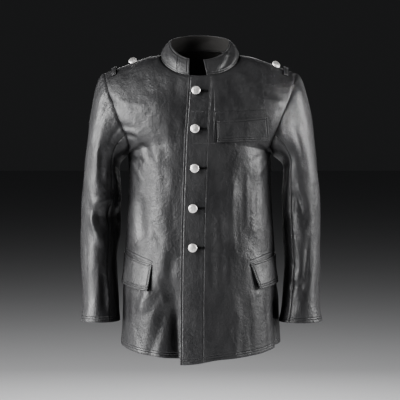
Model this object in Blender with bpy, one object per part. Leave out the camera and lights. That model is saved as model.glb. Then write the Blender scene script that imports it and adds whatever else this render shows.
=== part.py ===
"""Leather uniform jacket: hip length, single breasted, with a low stand collar.

The pieces are the ones a maker would cut: two fronts that lap over at the middle, a back, a collar
band, two sleeves of a top and an under piece each, a chest flap, two hip flaps, two shoulder loops
and seven domed buttons.  The jacket keeps the hollow form it has when it is worn, arms hanging.

Frame: metres, +Z up, the front faces -Y, +X is the wearer's left.  The origin is the middle of the
neck opening, at the height where the collar meets the shoulder seam.

Every cloth panel is a grid of points.  Rows follow a level that is 0 at the hem, 1 at the underarm
and 2 at the shoulder seam or neckline; columns run from the front or back middle to the side.
Panels that are sewn together share the points of their seam, so their edges match.
"""

import math

import bmesh
import bpy
import numpy as np

# Driving dimensions, in metres
WALL = 0.0020                 # leather with its turned-in edges
SEAM_GAP = 0.0003             # space left between two pieces at a seam
LAY_GAP = 0.0008              # space under a piece that lies on a panel
LAP_OFFSET = 0.0014           # each front moves this far at the lap, one out and one in
NECK_HALF_WIDTH = 0.0985
NECK_FRONT_DEPTH = 0.085
NECK_BACK_DEPTH = 0.072
NECK_SIDE_HEIGHT = -0.002
NECK_FRONT_DROP = 0.054
NECK_BACK_RISE = 0.016
COLLAR_TOP_HALF_WIDTH = 0.0725
COLLAR_TOP_FRONT_DEPTH = 0.066
COLLAR_TOP_BACK_DEPTH = 0.058
COLLAR_TOP_HEIGHT = 0.034
COLLAR_TOP_FRONT_DROP = 0.0504
COLLAR_TOP_BACK_RISE = 0.017
COLLAR_BULGE = 0.0035
OVERLAP_DIP = 0.012           # the lapping front hangs this much lower at its edge
DIP_START = 0.055             # sideways place where it starts to hang lower
DIP_WIDTH = 0.105
DIP_LEVELS = 0.35             # levels above the hem over which it does so
LAP_START = 0.045             # sideways place from which the lapping front steps out
UNDER_LAP_START = -0.080      # and from which the front beneath steps in
LAP_RAMP = 0.03
LAP_FLAT_RAMP = 0.02
BUTTON_RADIUS = 0.0105
BUTTON_HEIGHT = 0.0062
SHANK_RADIUS = 0.0032
SHANK_HEIGHT = 0.0026
BUTTON_GAP = 0.0004           # space left under a shank

# Grid counts
SIDE_ROWS = 18                # hem to underarm
ARMHOLE_ROWS = 12             # underarm to shoulder
LAP_COLUMNS = 2               # front edge to the end of the collar
NECK_COLUMNS = 6              # end of the collar to the shoulder seam
SHOULDER_COLUMNS = 6          # along the shoulder seam
BACK_NECK_COLUMNS = 4         # centre back to the shoulder seam
CAP_ROWS = 8                  # armhole to the full sleeve
TUBE_ROWS = 13                # full sleeve to the cuff
COLLAR_ROWS = 3
FRONT_SEAM_COLUMN = 4         # where the sleeve is split, counted from the underarm
BACK_SEAM_COLUMN = 17
YOKE_LEVEL = 1.67             # above this the rows turn over the shoulder
GRID_SKEW = 0.1               # slant that settles which way a flat grid's squares are split
LEAST_CREASE = 0.66           # a crease sharper than this cosine gets no longer an inward step
LEAST_SEAM = 0.30             # nor, below this cosine, a wider seam gap
RIM_ORDER = (0.31, 0.52, 0.79)    # direction that settles which way the faces at a seam are split

# How the smooth form runs between the tables' points
EARLY_CLIMB = 0.12            # share of a row's climb done where it still runs straight on
LATE_CLIMB = 0.25             # share of it left where it turns to the side
YOKE_STEP = 0.04              # levels over which the heading at the yoke is taken
YOKE_PULL = 0.9               # how strongly the two headings shape the yoke
ARMHOLE_HOLD = 6              # power by which the armhole's own line fades into the panel
NECK_FORWARD = 0.62           # heading at the middle of the neckline: forward, and up
NECK_UP = 0.78
SHOULDER_UP = 0.05            # upward heading at the shoulder seam's outer end, front
SHOULDER_UP_BACK = -0.05      # and back
TRAPEZE_UP = 0.10             # more of it at the neck
CAP_AWAY_OUT = (0.62, 0.38)   # heading that leaves the armhole: out at the inner side, more outside
CAP_AWAY_DOWN = (-0.70, 0.36)
CAP_AWAY_FORWARD = 0.10
CAP_LEAVE = (0.34, -0.20)     # how far that heading is held: inner side, and what is added outside
CAP_ARRIVE = 0.42             # how far the full sleeve's heading is held
COLLAR_LEAN = 0.04            # height in the outward way of the collar, which bulges along it
FOLD_END = 0.3                # share of its length over which a fold fades out
FOLD_REACH = 0.5              # share of its length by which an unfaded fold may run on
EDGE_FADE = 2.5               # columns or rows over which folds fade at a seam
SEAM_CALM_LEVEL = 0.86        # from this level up, folds fade towards the armhole
SEAM_CALM_SPAN = 0.10
CALM_SLEEVE_ROWS = 3.0        # rows below the armhole over which a sleeve's folds start
SLEEVE_RADIUS = 0.062         # mean radius by which the sleeve folds' angles are measured
SAME_WAY = 0.94               # cosine above which two border edges count as one line
SHARP_EDGE = 50               # degrees above which an edge is shaded sharp

# Body form.  Each row of a table is one level of the body.
CENTRE_FRONT = (
    ("level", "height", "depth"),
    (0.0, -0.7390, 0.1480),
    (0.2, -0.6340, 0.1425),
    (0.4, -0.5290, 0.1350),
    (0.6, -0.4240, 0.1280),
    (0.8, -0.3190, 0.1285),
    (1.0, -0.2150, 0.1280),
    (1.33, -0.1600, 0.1205),
    (1.67, -0.1080, 0.1055),
    (2.0, -0.0560, 0.0850),
)
CENTRE_BACK = (
    ("level", "height", "depth"),
    (0.0, -0.7220, 0.1460),
    (0.2, -0.6250, 0.1390),
    (0.4, -0.5300, 0.1240),
    (0.6, -0.4350, 0.1070),
    (0.8, -0.3350, 0.1080),
    (1.0, -0.2350, 0.1240),
    (1.33, -0.1550, 0.1340),
    (1.67, -0.0700, 0.1140),
    (2.0, 0.0140, 0.0720),
)
SIDE_SEAM = (
    ("level", "height", "half_width", "set_back"),
    (0.0, -0.7150, 0.1970, 0.0000),
    (0.2, -0.6210, 0.1925, -0.0020),
    (0.4, -0.5270, 0.1885, -0.0040),
    (0.6, -0.4340, 0.1830, -0.0060),
    (0.8, -0.3400, 0.1770, -0.0050),
    (1.0, -0.2460, 0.1780, 0.0000),
)
# How far a row reaches straight on before it turns, and the way it heads at the side, in degrees
ROW_SHAPE = (
    ("level", "front_reach", "front_turn_reach", "front_turn",
     "back_reach", "back_turn_reach", "back_turn"),
    (0.0, 0.125, 0.088, 90.0, 0.125, 0.088, 90.0),
    (0.4, 0.118, 0.076, 90.0, 0.118, 0.074, 90.0),
    (0.6, 0.112, 0.072, 90.0, 0.115, 0.064, 90.0),
    (0.8, 0.108, 0.072, 90.0, 0.112, 0.066, 90.0),
    (1.0, 0.105, 0.072, 86.0, 0.112, 0.072, 86.0),
    (1.33, 0.100, 0.040, 55.0, 0.105, 0.045, 45.0),
    (1.67, 0.090, 0.050, 38.0, 0.100, 0.060, 30.0),
    (2.0, 0.080, 0.050, 20.0, 0.090, 0.060, 20.0),
)
ARMHOLE_FRONT = (
    ("x", "y", "z"),
    (0.1780, 0.000, -0.2460),
    (0.1765, -0.034, -0.2410),
    (0.1730, -0.062, -0.2220),
    (0.1805, -0.074, -0.2000),
    (0.1915, -0.077, -0.1750),
    (0.2055, -0.072, -0.1410),
    (0.2180, -0.058, -0.1100),
    (0.2280, -0.036, -0.0770),
    (0.2370, 0.004, -0.0455),
)
ARMHOLE_BACK = (
    ("x", "y", "z"),
    (0.1780, 0.000, -0.2460),
    (0.1775, 0.034, -0.2410),
    (0.1745, 0.066, -0.2220),
    (0.1800, 0.090, -0.1900),
    (0.1900, 0.100, -0.1550),
    (0.2030, 0.095, -0.1180),
    (0.2180, 0.072, -0.0830),
    (0.2300, 0.040, -0.0580),
    (0.2370, 0.004, -0.0455),
)
SHOULDER_SEAM = (
    ("x", "y", "z"),
    (0.0985, 0.000, -0.0020),
    (0.1250, 0.001, -0.0055),
    (0.1480, 0.002, -0.0125),
    (0.1780, 0.003, -0.0235),
    (0.2050, 0.004, -0.0335),
    (0.2370, 0.004, -0.0455),
)
# Front edge of the lapping front, and the fixed edge of the front beneath it
OVERLAP_EDGE = (
    ("level", "past_middle"),
    (0.0, 0.0478),
    (0.3, 0.0475),
    (0.6, 0.0450),
    (1.0, 0.0380),
    (1.5, 0.0325),
    (2.0, 0.0280),
)
UNDERLAP_EDGE = (
    ("level", "past_middle"),
    (0.0, 0.0160),
    (2.0, 0.0160),
)
COLLAR_END_LEFT = 0.0158      # the collar starts this far to the side of the middle, per front
COLLAR_END_RIGHT = 0.0258
COLLAR_END_LEFT_TOP = 0.0075
COLLAR_END_RIGHT_TOP = 0.0250

# Sleeves: one row for each height, seen from the front, then the depth from front to back
SLEEVE_LEFT = (
    ("height", "inner", "outer", "set_back", "half_depth"),
    (-0.2100, 0.2060, 0.2850, 0.006, 0.083),
    (-0.2700, 0.2080, 0.2895, 0.008, 0.081),
    (-0.3360, 0.2054, 0.2970, 0.010, 0.078),
    (-0.4357, 0.2058, 0.2995, 0.010, 0.072),
    (-0.5100, 0.2110, 0.2995, 0.000, 0.065),
    (-0.5850, 0.2060, 0.2985, -0.014, 0.058),
    (-0.6350, 0.2005, 0.2985, -0.024, 0.053),
    (-0.6585, 0.1950, 0.3025, -0.029, 0.050),
)
SLEEVE_RIGHT = (
    ("height", "inner", "outer", "set_back", "half_depth"),
    (-0.2100, 0.2040, 0.2795, 0.006, 0.081),
    (-0.2700, 0.2020, 0.2860, 0.008, 0.080),
    (-0.3110, 0.1990, 0.2900, 0.009, 0.078),
    (-0.3800, 0.1965, 0.2960, 0.010, 0.073),
    (-0.4357, 0.1985, 0.2975, 0.009, 0.070),
    (-0.5100, 0.2070, 0.2965, -0.001, 0.063),
    (-0.5850, 0.2030, 0.2920, -0.014, 0.056),
    (-0.6570, 0.1985, 0.2945, -0.029, 0.050),
)
SLEEVE_TOP_HEIGHT = -0.262    # where the cap ends and the sleeve is a full tube
SLEEVE_TOP_TILT = 0.024       # the tube starts higher outside than inside by twice this
CUFF_HEIGHT_LEFT = -0.6585
CUFF_HEIGHT_RIGHT = -0.6570
RING_CROWDING = 7.0           # degrees by which the sleeve's columns gather on the inner side

# Largest folds of the body.  Angles run from the middle front, + to the wearer's left; a minus
# depth is a trough.  Ends of 0 fade the fold out, ends of 1 let it run off the edge.
BODY_FOLDS = (
    ("angle_0", "height_0", "angle_1", "height_1", "width", "depth", "end_0", "end_1"),
    (-72.0, -0.118, -48.0, -0.146, 0.013, 0.0050, 1, 0),
    (-66.0, -0.205, -50.0, -0.212, 0.014, 0.0035, 0, 0),
    (-28.0, -0.270, -29.5, -0.590, 0.012, -0.0075, 0, 0),
    (-37.0, -0.300, -36.0, -0.560, 0.016, 0.0045, 0, 0),
    (-33.0, -0.590, -45.0, -0.735, 0.015, -0.0050, 0, 1),
    (-46.0, -0.560, -58.0, -0.640, 0.014, 0.0045, 0, 0),
    (-62.0, -0.330, -58.0, -0.470, 0.018, -0.0045, 0, 0),
    (31.0, -0.270, 34.0, -0.520, 0.014, 0.0055, 0, 0),
    (43.0, -0.250, 41.0, -0.500, 0.014, -0.0050, 0, 0),
    (53.0, -0.300, 54.0, -0.480, 0.013, 0.0050, 0, 0),
    (22.0, -0.330, 20.0, -0.620, 0.014, -0.0035, 0, 0),
    (40.0, -0.560, 38.0, -0.735, 0.016, -0.0040, 0, 1),
    (52.0, -0.560, 56.0, -0.735, 0.018, 0.0045, 0, 1),
    (77.0, -0.580, 78.0, -0.725, 0.013, -0.0080, 0, 1),
    (90.0, -0.560, 90.0, -0.725, 0.014, 0.0040, 0, 1),
    (68.0, -0.125, 52.0, -0.100, 0.013, 0.0040, 1, 0),
    (118.0, -0.200, 146.0, -0.320, 0.020, 0.0060, 0, 0),
    (-118.0, -0.200, -150.0, -0.330, 0.020, 0.0060, 0, 0),
    (128.0, -0.330, 160.0, -0.430, 0.018, -0.0060, 0, 0),
    (-126.0, -0.350, -158.0, -0.420, 0.018, -0.0060, 0, 0),
    (150.0, -0.450, 146.0, -0.715, 0.022, -0.0060, 0, 1),
    (-152.0, -0.470, -144.0, -0.715, 0.022, -0.0060, 0, 1),
    (172.0, -0.460, 176.0, -0.715, 0.024, 0.0050, 0, 1),
    (-170.0, -0.120, 168.0, -0.118, 0.020, -0.0035, 0, 0),
)
# The front that lies beneath swings back towards its hem, where no button holds it
UNDER_FRONT_SWING = (
    ("angle_0", "height_0", "angle_1", "height_1", "width", "depth", "end_0", "end_1"),
    (-27.0, -0.530, -24.0, -0.745, 0.032, -0.0150, 0, 1),
)
LAP_FLAT = 0.012              # the lapping front stays flat up to this far past the middle
UNDER_LAP = -0.055            # from here on the other front only sinks, never rises

# Largest folds of the sleeves.  Angles run round the arm: 0 inner, 90 front, 180 outer, 270 back.
SLEEVE_LEFT_FOLDS = (
    ("angle_0", "height_0", "angle_1", "height_1", "width", "depth", "end_0", "end_1"),
    (62.0, -0.330, 112.0, -0.440, 0.016, -0.0070, 0, 0),
    (112.0, -0.440, 84.0, -0.610, 0.016, -0.0060, 0, 0),
    (42.0, -0.300, 40.0, -0.420, 0.014, 0.0045, 0, 0),
    (140.0, -0.200, 146.0, -0.520, 0.020, 0.0035, 0, 0),
    (95.0, -0.565, 40.0, -0.572, 0.011, -0.0045, 0, 0),
    (300.0, -0.350, 240.0, -0.410, 0.016, -0.0060, 0, 0),
    (310.0, -0.420, 238.0, -0.455, 0.016, 0.0050, 0, 0),
    (200.0, -0.300, 250.0, -0.340, 0.018, -0.0045, 0, 0),
)
SLEEVE_RIGHT_FOLDS = (
    ("angle_0", "height_0", "angle_1", "height_1", "width", "depth", "end_0", "end_1"),
    (122.0, -0.374, 34.0, -0.348, 0.012, 0.0060, 0, 0),
    (112.0, -0.402, 42.0, -0.395, 0.024, -0.0120, 0, 0),
    (124.0, -0.380, 74.0, -0.478, 0.012, 0.0055, 0, 0),
    (82.0, -0.225, 86.0, -0.330, 0.013, -0.0055, 0, 0),
    (140.0, -0.220, 146.0, -0.350, 0.018, 0.0035, 0, 0),
    (70.0, -0.520, 74.0, -0.640, 0.014, -0.0045, 0, 0),
    (300.0, -0.330, 244.0, -0.390, 0.016, -0.0060, 0, 0),
    (308.0, -0.400, 240.0, -0.450, 0.016, 0.0050, 0, 0),
    (205.0, -0.300, 250.0, -0.350, 0.018, -0.0045, 0, 0),
)

# Flaps: corners on the front panel, by the distance from the middle and the height, and how far
# the lower edge stands off.  "inner" is the edge towards the middle, "outer" the one at the side.
# A flap with straight 1 is straight as seen from the front; with 0 it follows the panel's rows.
FLAPS = (
    ("name", "panel", "inner_top", "inner_top_z", "inner_low", "inner_low_z",
     "outer_top", "outer_top_z", "outer_low", "outer_low_z", "stand_off", "straight"),
    ("flap_chest", "front_left", 0.0400, -0.1665, 0.0405, -0.2170,
     0.1625, -0.1565, 0.1660, -0.2115, 0.0018, 1),
    ("flap_hip_left", "front_left", 0.1215, -0.5100, 0.1400, -0.5720,
     0.1880, -0.4900, 0.1895, -0.5580, 0.0075, 0),
    ("flap_hip_right", "front_right", 0.1150, -0.5120, 0.1235, -0.5760,
     0.1880, -0.4860, 0.1895, -0.5600, 0.0075, 0),
)
FLAP_COLUMNS = 8
FLAP_ROWS = 4
FLAP_CURL = 1.3               # power by which a flap lifts towards its lower edge
FLAP_SETTLE = 2.0             # power by which a hip flap's lift fades towards its outer end

# Buttons: sideways place (+ to the wearer's left) and height, on the lapping front
FRONT_BUTTONS = (
    ("x", "z"),
    (-0.0096, -0.0935),
    (-0.0120, -0.1845),
    (-0.0125, -0.2785),
    (-0.0168, -0.3745),
    (-0.0172, -0.4690),
)
BUTTON_STEPS = 18
# Shoulder buttons: place along the shoulder seam, how far in front of it, how far out the slanted
# shank starts, and the way they face
SHOULDER_BUTTONS = (
    ("name", "x", "forward", "lift", "face_x", "face_y", "face_z"),
    ("shoulder_button_left", 0.1850, 0.010, 0.0009, 0.42, -0.66, 0.62),
    ("shoulder_button_right", 0.1640, 0.010, 0.0012, -0.12, -0.66, 0.74),
)
SHOULDER_LOOP_X = 0.2120
SHOULDER_LOOP_WIDTH = 0.013
SHOULDER_LOOP_REACH = 0.034   # from the shoulder seam to each end
SHOULDER_LOOP_RISE = 0.0035
SHOULDER_LOOP_STEPS = 8

LEATHER_COLOURS = (
    ("front_left", (0.022, 0.022, 0.024), 0.42),
    ("front_right", (0.024, 0.024, 0.026), 0.42),
    ("back", (0.022, 0.022, 0.024), 0.44),
    ("sleeve", (0.020, 0.020, 0.022), 0.40),
    ("collar", (0.024, 0.024, 0.026), 0.42),
    ("flap", (0.026, 0.026, 0.028), 0.42),
    ("shoulder_loop", (0.026, 0.026, 0.028), 0.42),
)
METAL_COLOUR = (0.78, 0.76, 0.74)
METAL_ROUGHNESS = 0.28


def column(table, name):
    """One named column of a table as an array."""
    place = table[0].index(name)
    return np.array([row[place] for row in table[1:]])


def smooth(knots, values, at):
    """Smooth curve through values at knots, read at one or more places."""
    knots = np.asarray(knots, float)
    values = np.asarray(values, float)
    at = np.asarray(at, float)
    slopes = np.gradient(values, knots, axis=0)
    index = np.clip(np.searchsorted(knots, at, side="right") - 1, 0, len(knots) - 2)
    span = knots[index + 1] - knots[index]
    s = np.clip((at - knots[index]) / span, 0.0, 1.0)
    if values.ndim > 1:
        span = span[..., None]
        s = s[..., None]
    start = (1 + 2 * s) * (1 - s) ** 2 * values[index] + s * (1 - s) ** 2 * span * slopes[index]
    end = s ** 2 * (3 - 2 * s) * values[index + 1] + s ** 2 * (s - 1) * span * slopes[index + 1]
    return start + end


def read(table, key, name, at):
    """A named column of a table, read smoothly along its key column."""
    return smooth(column(table, key), column(table, name), at)


def even_along(table, fractions):
    """Points of a smooth 3-D curve through a table's rows, even along its length."""
    points = np.stack([column(table, axis) for axis in ("x", "y", "z")], axis=1)
    chords = np.linalg.norm(np.diff(points, axis=0), axis=1)
    knots = np.concatenate([[0.0], np.cumsum(chords)])
    fine = np.linspace(0.0, knots[-1], 400)
    path = smooth(knots, points, fine)
    lengths = np.concatenate([[0.0], np.cumsum(np.linalg.norm(np.diff(path, axis=0), axis=1))])
    wanted = np.asarray(fractions) * lengths[-1]
    return np.stack([np.interp(wanted, lengths, path[:, axis]) for axis in range(3)], axis=-1)


def ease(value):
    """0 to 1 with level ends."""
    value = np.clip(value, 0.0, 1.0)
    return value * value * (3 - 2 * value)


def unit(vectors):
    """Vectors of length one."""
    return vectors / np.maximum(np.linalg.norm(vectors, axis=-1, keepdims=True), 1e-12)


def level_of_row(row):
    """Level of a grid row: 0 hem, 1 underarm, 2 shoulder."""
    row = np.asarray(row, float)
    return np.where(row <= SIDE_ROWS, row / SIDE_ROWS, 1 + (row - SIDE_ROWS) / ARMHOLE_ROWS)


def side_point(level, face):
    """Point of the side seam or, above the underarm, of the armhole; face is -1 front, 1 back."""
    if level <= 1.0:
        return np.array([
            read(SIDE_SEAM, "level", "half_width", level),
            read(SIDE_SEAM, "level", "set_back", level),
            read(SIDE_SEAM, "level", "height", level),
        ])
    armhole = ARMHOLE_FRONT if face < 0 else ARMHOLE_BACK
    return even_along(armhole, [level - 1.0])[0]


def body_row(level, t, face):
    """Points of one level of the body for t from 0 at the middle to 1 at the side.

    A minus t lies past the middle, on the other half of the body.
    """
    table, side_name = (CENTRE_FRONT, "front") if face < 0 else (CENTRE_BACK, "back")
    depth = read(table, "level", "depth", level)
    height = read(table, "level", "height", level)
    reach = read(ROW_SHAPE, "level", side_name + "_reach", level)
    turn_reach = read(ROW_SHAPE, "level", side_name + "_turn_reach", level)
    turn = math.radians(float(read(ROW_SHAPE, "level", side_name + "_turn", level)))
    middle = np.array([0.0, face * depth, height])
    side = side_point(level, face)
    rise = side[2] - height
    straight = middle + np.array([reach, 0.0, EARLY_CLIMB * rise])
    heading = np.array([math.cos(turn), -face * math.sin(turn), 0.0])
    turned = side - turn_reach * heading - np.array([0.0, 0.0, LATE_CLIMB * rise])
    s = np.abs(np.asarray(t, float))[:, None]
    points = (middle * (1 - s) ** 3 + straight * 3 * s * (1 - s) ** 2
              + turned * 3 * s ** 2 * (1 - s) + side * s ** 3)
    points[:, 0] *= np.where(np.asarray(t) < 0, -1.0, 1.0)
    return points


def t_at_distance(level, distance, face):
    """The t whose point lies at a sideways distance from the middle, with its sign kept."""
    t = np.linspace(0.0, 1.0, 201)
    across = body_row(level, t, face)[:, 0]
    return math.copysign(float(np.interp(abs(distance), across, t)), distance)


def neck_point(angle, face):
    """Point of the neckline; the angle is 0 at the middle and 90 degrees at the shoulder seam."""
    depth = NECK_FRONT_DEPTH if face < 0 else NECK_BACK_DEPTH
    climb = -NECK_FRONT_DROP if face < 0 else NECK_BACK_RISE
    cosine = np.cos(angle)
    return np.stack([NECK_HALF_WIDTH * np.sin(angle), face * depth * cosine,
                     NECK_SIDE_HEIGHT + climb * cosine], axis=-1)


def shoulder_points():
    """Points of the shoulder seam, from the neck to the armhole, neck point left out."""
    return even_along(SHOULDER_SEAM, np.arange(1, SHOULDER_COLUMNS + 1) / SHOULDER_COLUMNS)


def top_headings(top, face):
    """The way each column heads as it reaches the top edge of a panel."""
    across = np.abs(top[:, 0])
    outward = np.clip(across / NECK_HALF_WIDTH, 0.0, 1.0)[:, None] ** 1.5
    along_seam = ease((across - NECK_HALF_WIDTH) / (across[-1] - NECK_HALF_WIDTH))
    up = (SHOULDER_UP if face < 0 else SHOULDER_UP_BACK) + TRAPEZE_UP * (1 - along_seam)
    at_middle = np.array([0.0, -face * NECK_FORWARD, NECK_UP])
    at_shoulder = np.stack([0.0 * up, -face * np.ones_like(up), up], axis=-1)
    return unit(at_middle * (1 - outward) + at_shoulder * outward)


def half_panel(t_of_level, top, face):
    """Grid of points of a front or half back, rows from the hem, columns from the middle.

    t_of_level gives the columns' t at a level, and top holds the points of the top edge.
    """
    rows = SIDE_ROWS + ARMHOLE_ROWS
    grid = np.zeros((rows + 1, len(top), 3))
    start = body_row(YOKE_LEVEL, t_of_level(YOKE_LEVEL), face)
    below = YOKE_LEVEL - YOKE_STEP
    before = body_row(below, t_of_level(below), face)
    span = 2.0 - YOKE_LEVEL
    chord = np.linalg.norm(top - start, axis=1, keepdims=True)
    start_way = unit(start - before) * chord * YOKE_PULL
    end_way = top_headings(top, face) * chord * YOKE_PULL
    for row in range(rows + 1):
        level = float(level_of_row(row))
        if level <= YOKE_LEVEL:
            grid[row] = body_row(level, t_of_level(level), face)
            continue
        s = (level - YOKE_LEVEL) / span
        grid[row] = ((1 + 2 * s) * (1 - s) ** 2 * start + s * (1 - s) ** 2 * start_way
                     + s ** 2 * (3 - 2 * s) * top + s ** 2 * (s - 1) * end_way)
        share = (np.arange(len(top)) / (len(top) - 1.0))[:, None] ** ARMHOLE_HOLD
        grid[row] += share * (side_point(level, face) - grid[row][-1])
    return grid


def front_base(edge_table, collar_end):
    """Smooth form of one front, on the +X side, from its edge past the middle to the side."""
    columns = NECK_COLUMNS + SHOULDER_COLUMNS

    def t_of_level(level):
        edge = t_at_distance(level, -float(read(edge_table, "level", "past_middle", level)), -1)
        line = t_at_distance(level, collar_end, -1)
        lap = edge + (line - edge) * np.arange(LAP_COLUMNS) / LAP_COLUMNS
        return np.concatenate([lap, line + (1 - line) * np.arange(columns + 1) / columns])

    edge_angle = -math.asin(float(read(edge_table, "level", "past_middle", 2.0)) / NECK_HALF_WIDTH)
    end_angle = math.asin(collar_end / NECK_HALF_WIDTH)
    lap_angles = edge_angle + (end_angle - edge_angle) * np.arange(LAP_COLUMNS) / LAP_COLUMNS
    neck_angles = end_angle + (math.pi / 2 - end_angle) * np.arange(NECK_COLUMNS + 1) / NECK_COLUMNS
    neckline = neck_point(np.concatenate([lap_angles, neck_angles]), -1)
    top = np.concatenate([neckline, shoulder_points()])
    return half_panel(t_of_level, top, -1)


def back_base():
    """Smooth form of the whole back, columns from the wearer's right to the left."""
    columns = BACK_NECK_COLUMNS + SHOULDER_COLUMNS

    def t_of_level(_level):
        return np.arange(columns + 1) / columns

    angles = math.pi / 2 * np.arange(BACK_NECK_COLUMNS + 1) / BACK_NECK_COLUMNS
    top = np.concatenate([neck_point(angles, 1), shoulder_points()])
    half = half_panel(t_of_level, top, 1)
    other = half[:, :0:-1] * np.array([-1.0, 1.0, 1.0])
    return np.concatenate([other, half], axis=1)


def mirrored(grid):
    """A grid moved to the other side of the body, columns turned round to keep its face out."""
    return grid[:, ::-1] * np.array([-1.0, 1.0, 1.0])


def armhole_loop(front, back, side):
    """Armhole points from the underarm up the front and down the back; side is 1 left, -1 right."""
    front_edge = front[SIDE_ROWS:, -1] if side > 0 else front[SIDE_ROWS:, 0]
    back_edge = back[SIDE_ROWS:, -1] if side > 0 else back[SIDE_ROWS:, 0]
    return np.concatenate([front_edge, back_edge[-2::-1]])


def ring_angles():
    """Angles of the sleeve's columns: 0 inner, 90 front, 180 outer, 270 back, in radians."""
    even = np.linspace(0.0, 360.0, 2 * ARMHOLE_ROWS + 1)
    return np.radians(even - RING_CROWDING * np.sin(np.radians(even)))


def tube_points(table, heights, angles):
    """Points of the sleeve tube on the +X side at given heights and angles round the arm."""
    heights = np.asarray(heights, float)
    below = -column(table, "height")
    inner, outer, set_back, half_depth = (
        smooth(below, column(table, name), -heights)
        for name in ("inner", "outer", "set_back", "half_depth"))
    centre = (inner + outer) / 2
    half_width = (outer - inner) / 2
    return np.stack([centre - half_width * np.cos(angles), set_back - half_depth * np.sin(angles),
                     heights + 0.0 * angles], axis=-1)


def sleeve_base(loop, table, cuff_height):
    """Smooth form of a sleeve on the +X side: rows from the armhole to the cuff, columns round."""
    angles = ring_angles()
    outside = (1 - np.cos(angles)) / 2
    start_heights = SLEEVE_TOP_HEIGHT - SLEEVE_TOP_TILT * np.cos(angles)
    ring = tube_points(table, start_heights, angles)
    below = tube_points(table, start_heights - 0.01, angles)
    down = unit(below - ring)
    out = CAP_AWAY_OUT[0] + CAP_AWAY_OUT[1] * outside
    drop = CAP_AWAY_DOWN[0] + CAP_AWAY_DOWN[1] * outside
    away = unit(np.stack([out, CAP_AWAY_FORWARD * np.sin(angles), drop], axis=-1))
    chord = np.linalg.norm(ring - loop, axis=1, keepdims=True)
    leave = loop + away * chord * (CAP_LEAVE[0] + CAP_LEAVE[1] * outside[:, None])
    arrive = ring - down * chord * CAP_ARRIVE
    grid = []
    for row in range(CAP_ROWS):
        s = row / CAP_ROWS
        grid.append(loop * (1 - s) ** 3 + leave * 3 * s * (1 - s) ** 2
                    + arrive * 3 * s ** 2 * (1 - s) + ring * s ** 3)
    for row in range(TUBE_ROWS + 1):
        s = row / TUBE_ROWS
        grid.append(tube_points(table, start_heights + (cuff_height - start_heights) * s, angles))
    return np.array(grid)


def fold_heights(table, across, heights, reach):
    """Sum of the folds of a table at points given by an angle and a height.

    reach is the length, in metres, of one degree at each point.
    """
    total = np.zeros(np.shape(heights))
    for angle_0, height_0, angle_1, height_1, width, depth, end_0, end_1 in table[1:]:
        turn = (across - angle_0 + 180.0) % 360.0 - 180.0
        side = (angle_1 - angle_0 + 180.0) % 360.0 - 180.0
        line = np.stack([side * reach, (height_1 - height_0) + 0.0 * reach], axis=-1)
        point = np.stack([turn * reach, heights - height_0], axis=-1)
        length = np.maximum(np.linalg.norm(line, axis=-1), 1e-9)
        way = line / length[..., None]
        along = np.sum(point * way, axis=-1) / length
        off = point[..., 0] * way[..., 1] - point[..., 1] * way[..., 0]
        start = np.ones_like(along) if end_0 else ease(along / FOLD_END)
        finish = np.ones_like(along) if end_1 else ease((1 - along) / FOLD_END)
        inside = (along > -FOLD_REACH) & (along < 1 + FOLD_REACH)
        total += np.where(inside, depth * start * finish * np.exp(-(off / width) ** 2), 0.0)
    return total


def fold_places(points):
    """Angle, height and length of a degree at points of the body."""
    across = np.degrees(np.arctan2(points[..., 0], -points[..., 1]))
    reach = np.radians(1.0) * np.hypot(points[..., 0], points[..., 1])
    return across, points[..., 2], reach


def edge_fade(grid, sides):
    """Weights that go to 0 along chosen sides of a grid: l, r and t."""
    rows, columns = grid.shape[:2]
    weight = np.ones((rows, columns))
    row = np.arange(rows)[:, None]
    place = np.arange(columns)[None, :]
    if "l" in sides:
        weight = weight * ease(place / EDGE_FADE)
    if "r" in sides:
        weight = weight * ease((columns - 1 - place) / EDGE_FADE)
    if "t" in sides:
        weight = weight * ease((rows - 1 - row) / EDGE_FADE)
    return weight


def point_key(point):
    """Key that two panels' copies of one seam point share."""
    return tuple(np.round(point * 1e5).astype(int))


def shared_normals(grids):
    """Outward normals of every grid, with seam points averaged over the panels that meet there."""
    sums = {}
    corner_sums = []
    for grid in grids.values():
        total = np.zeros_like(grid)
        a, b, c, d = grid[:-1, :-1], grid[:-1, 1:], grid[1:, 1:], grid[1:, :-1]
        face = np.cross(c - a, d - b)
        total[:-1, :-1] += face
        total[:-1, 1:] += face
        total[1:, 1:] += face
        total[1:, :-1] += face
        corner_sums.append(total)
        for place in border_places(grid):
            key = point_key(grid[place])
            sums[key] = sums.get(key, np.zeros(3)) + unit(total[place])
    result = {}
    for (name, grid), total in zip(grids.items(), corner_sums):
        for place in border_places(grid):
            total[place] = sums[point_key(grid[place])]
        result[name] = unit(total)
    return result


def border_places(grid):
    """Row and column of each border point, once round the grid, starting at the first corner."""
    rows, columns = grid.shape[0] - 1, grid.shape[1] - 1
    low = [(0, column_) for column_ in range(columns)]
    right = [(row, columns) for row in range(rows)]
    top = [(rows, column_) for column_ in range(columns, 0, -1)]
    left = [(row, 0) for row in range(rows, 0, -1)]
    return low + right + top + left


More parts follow.
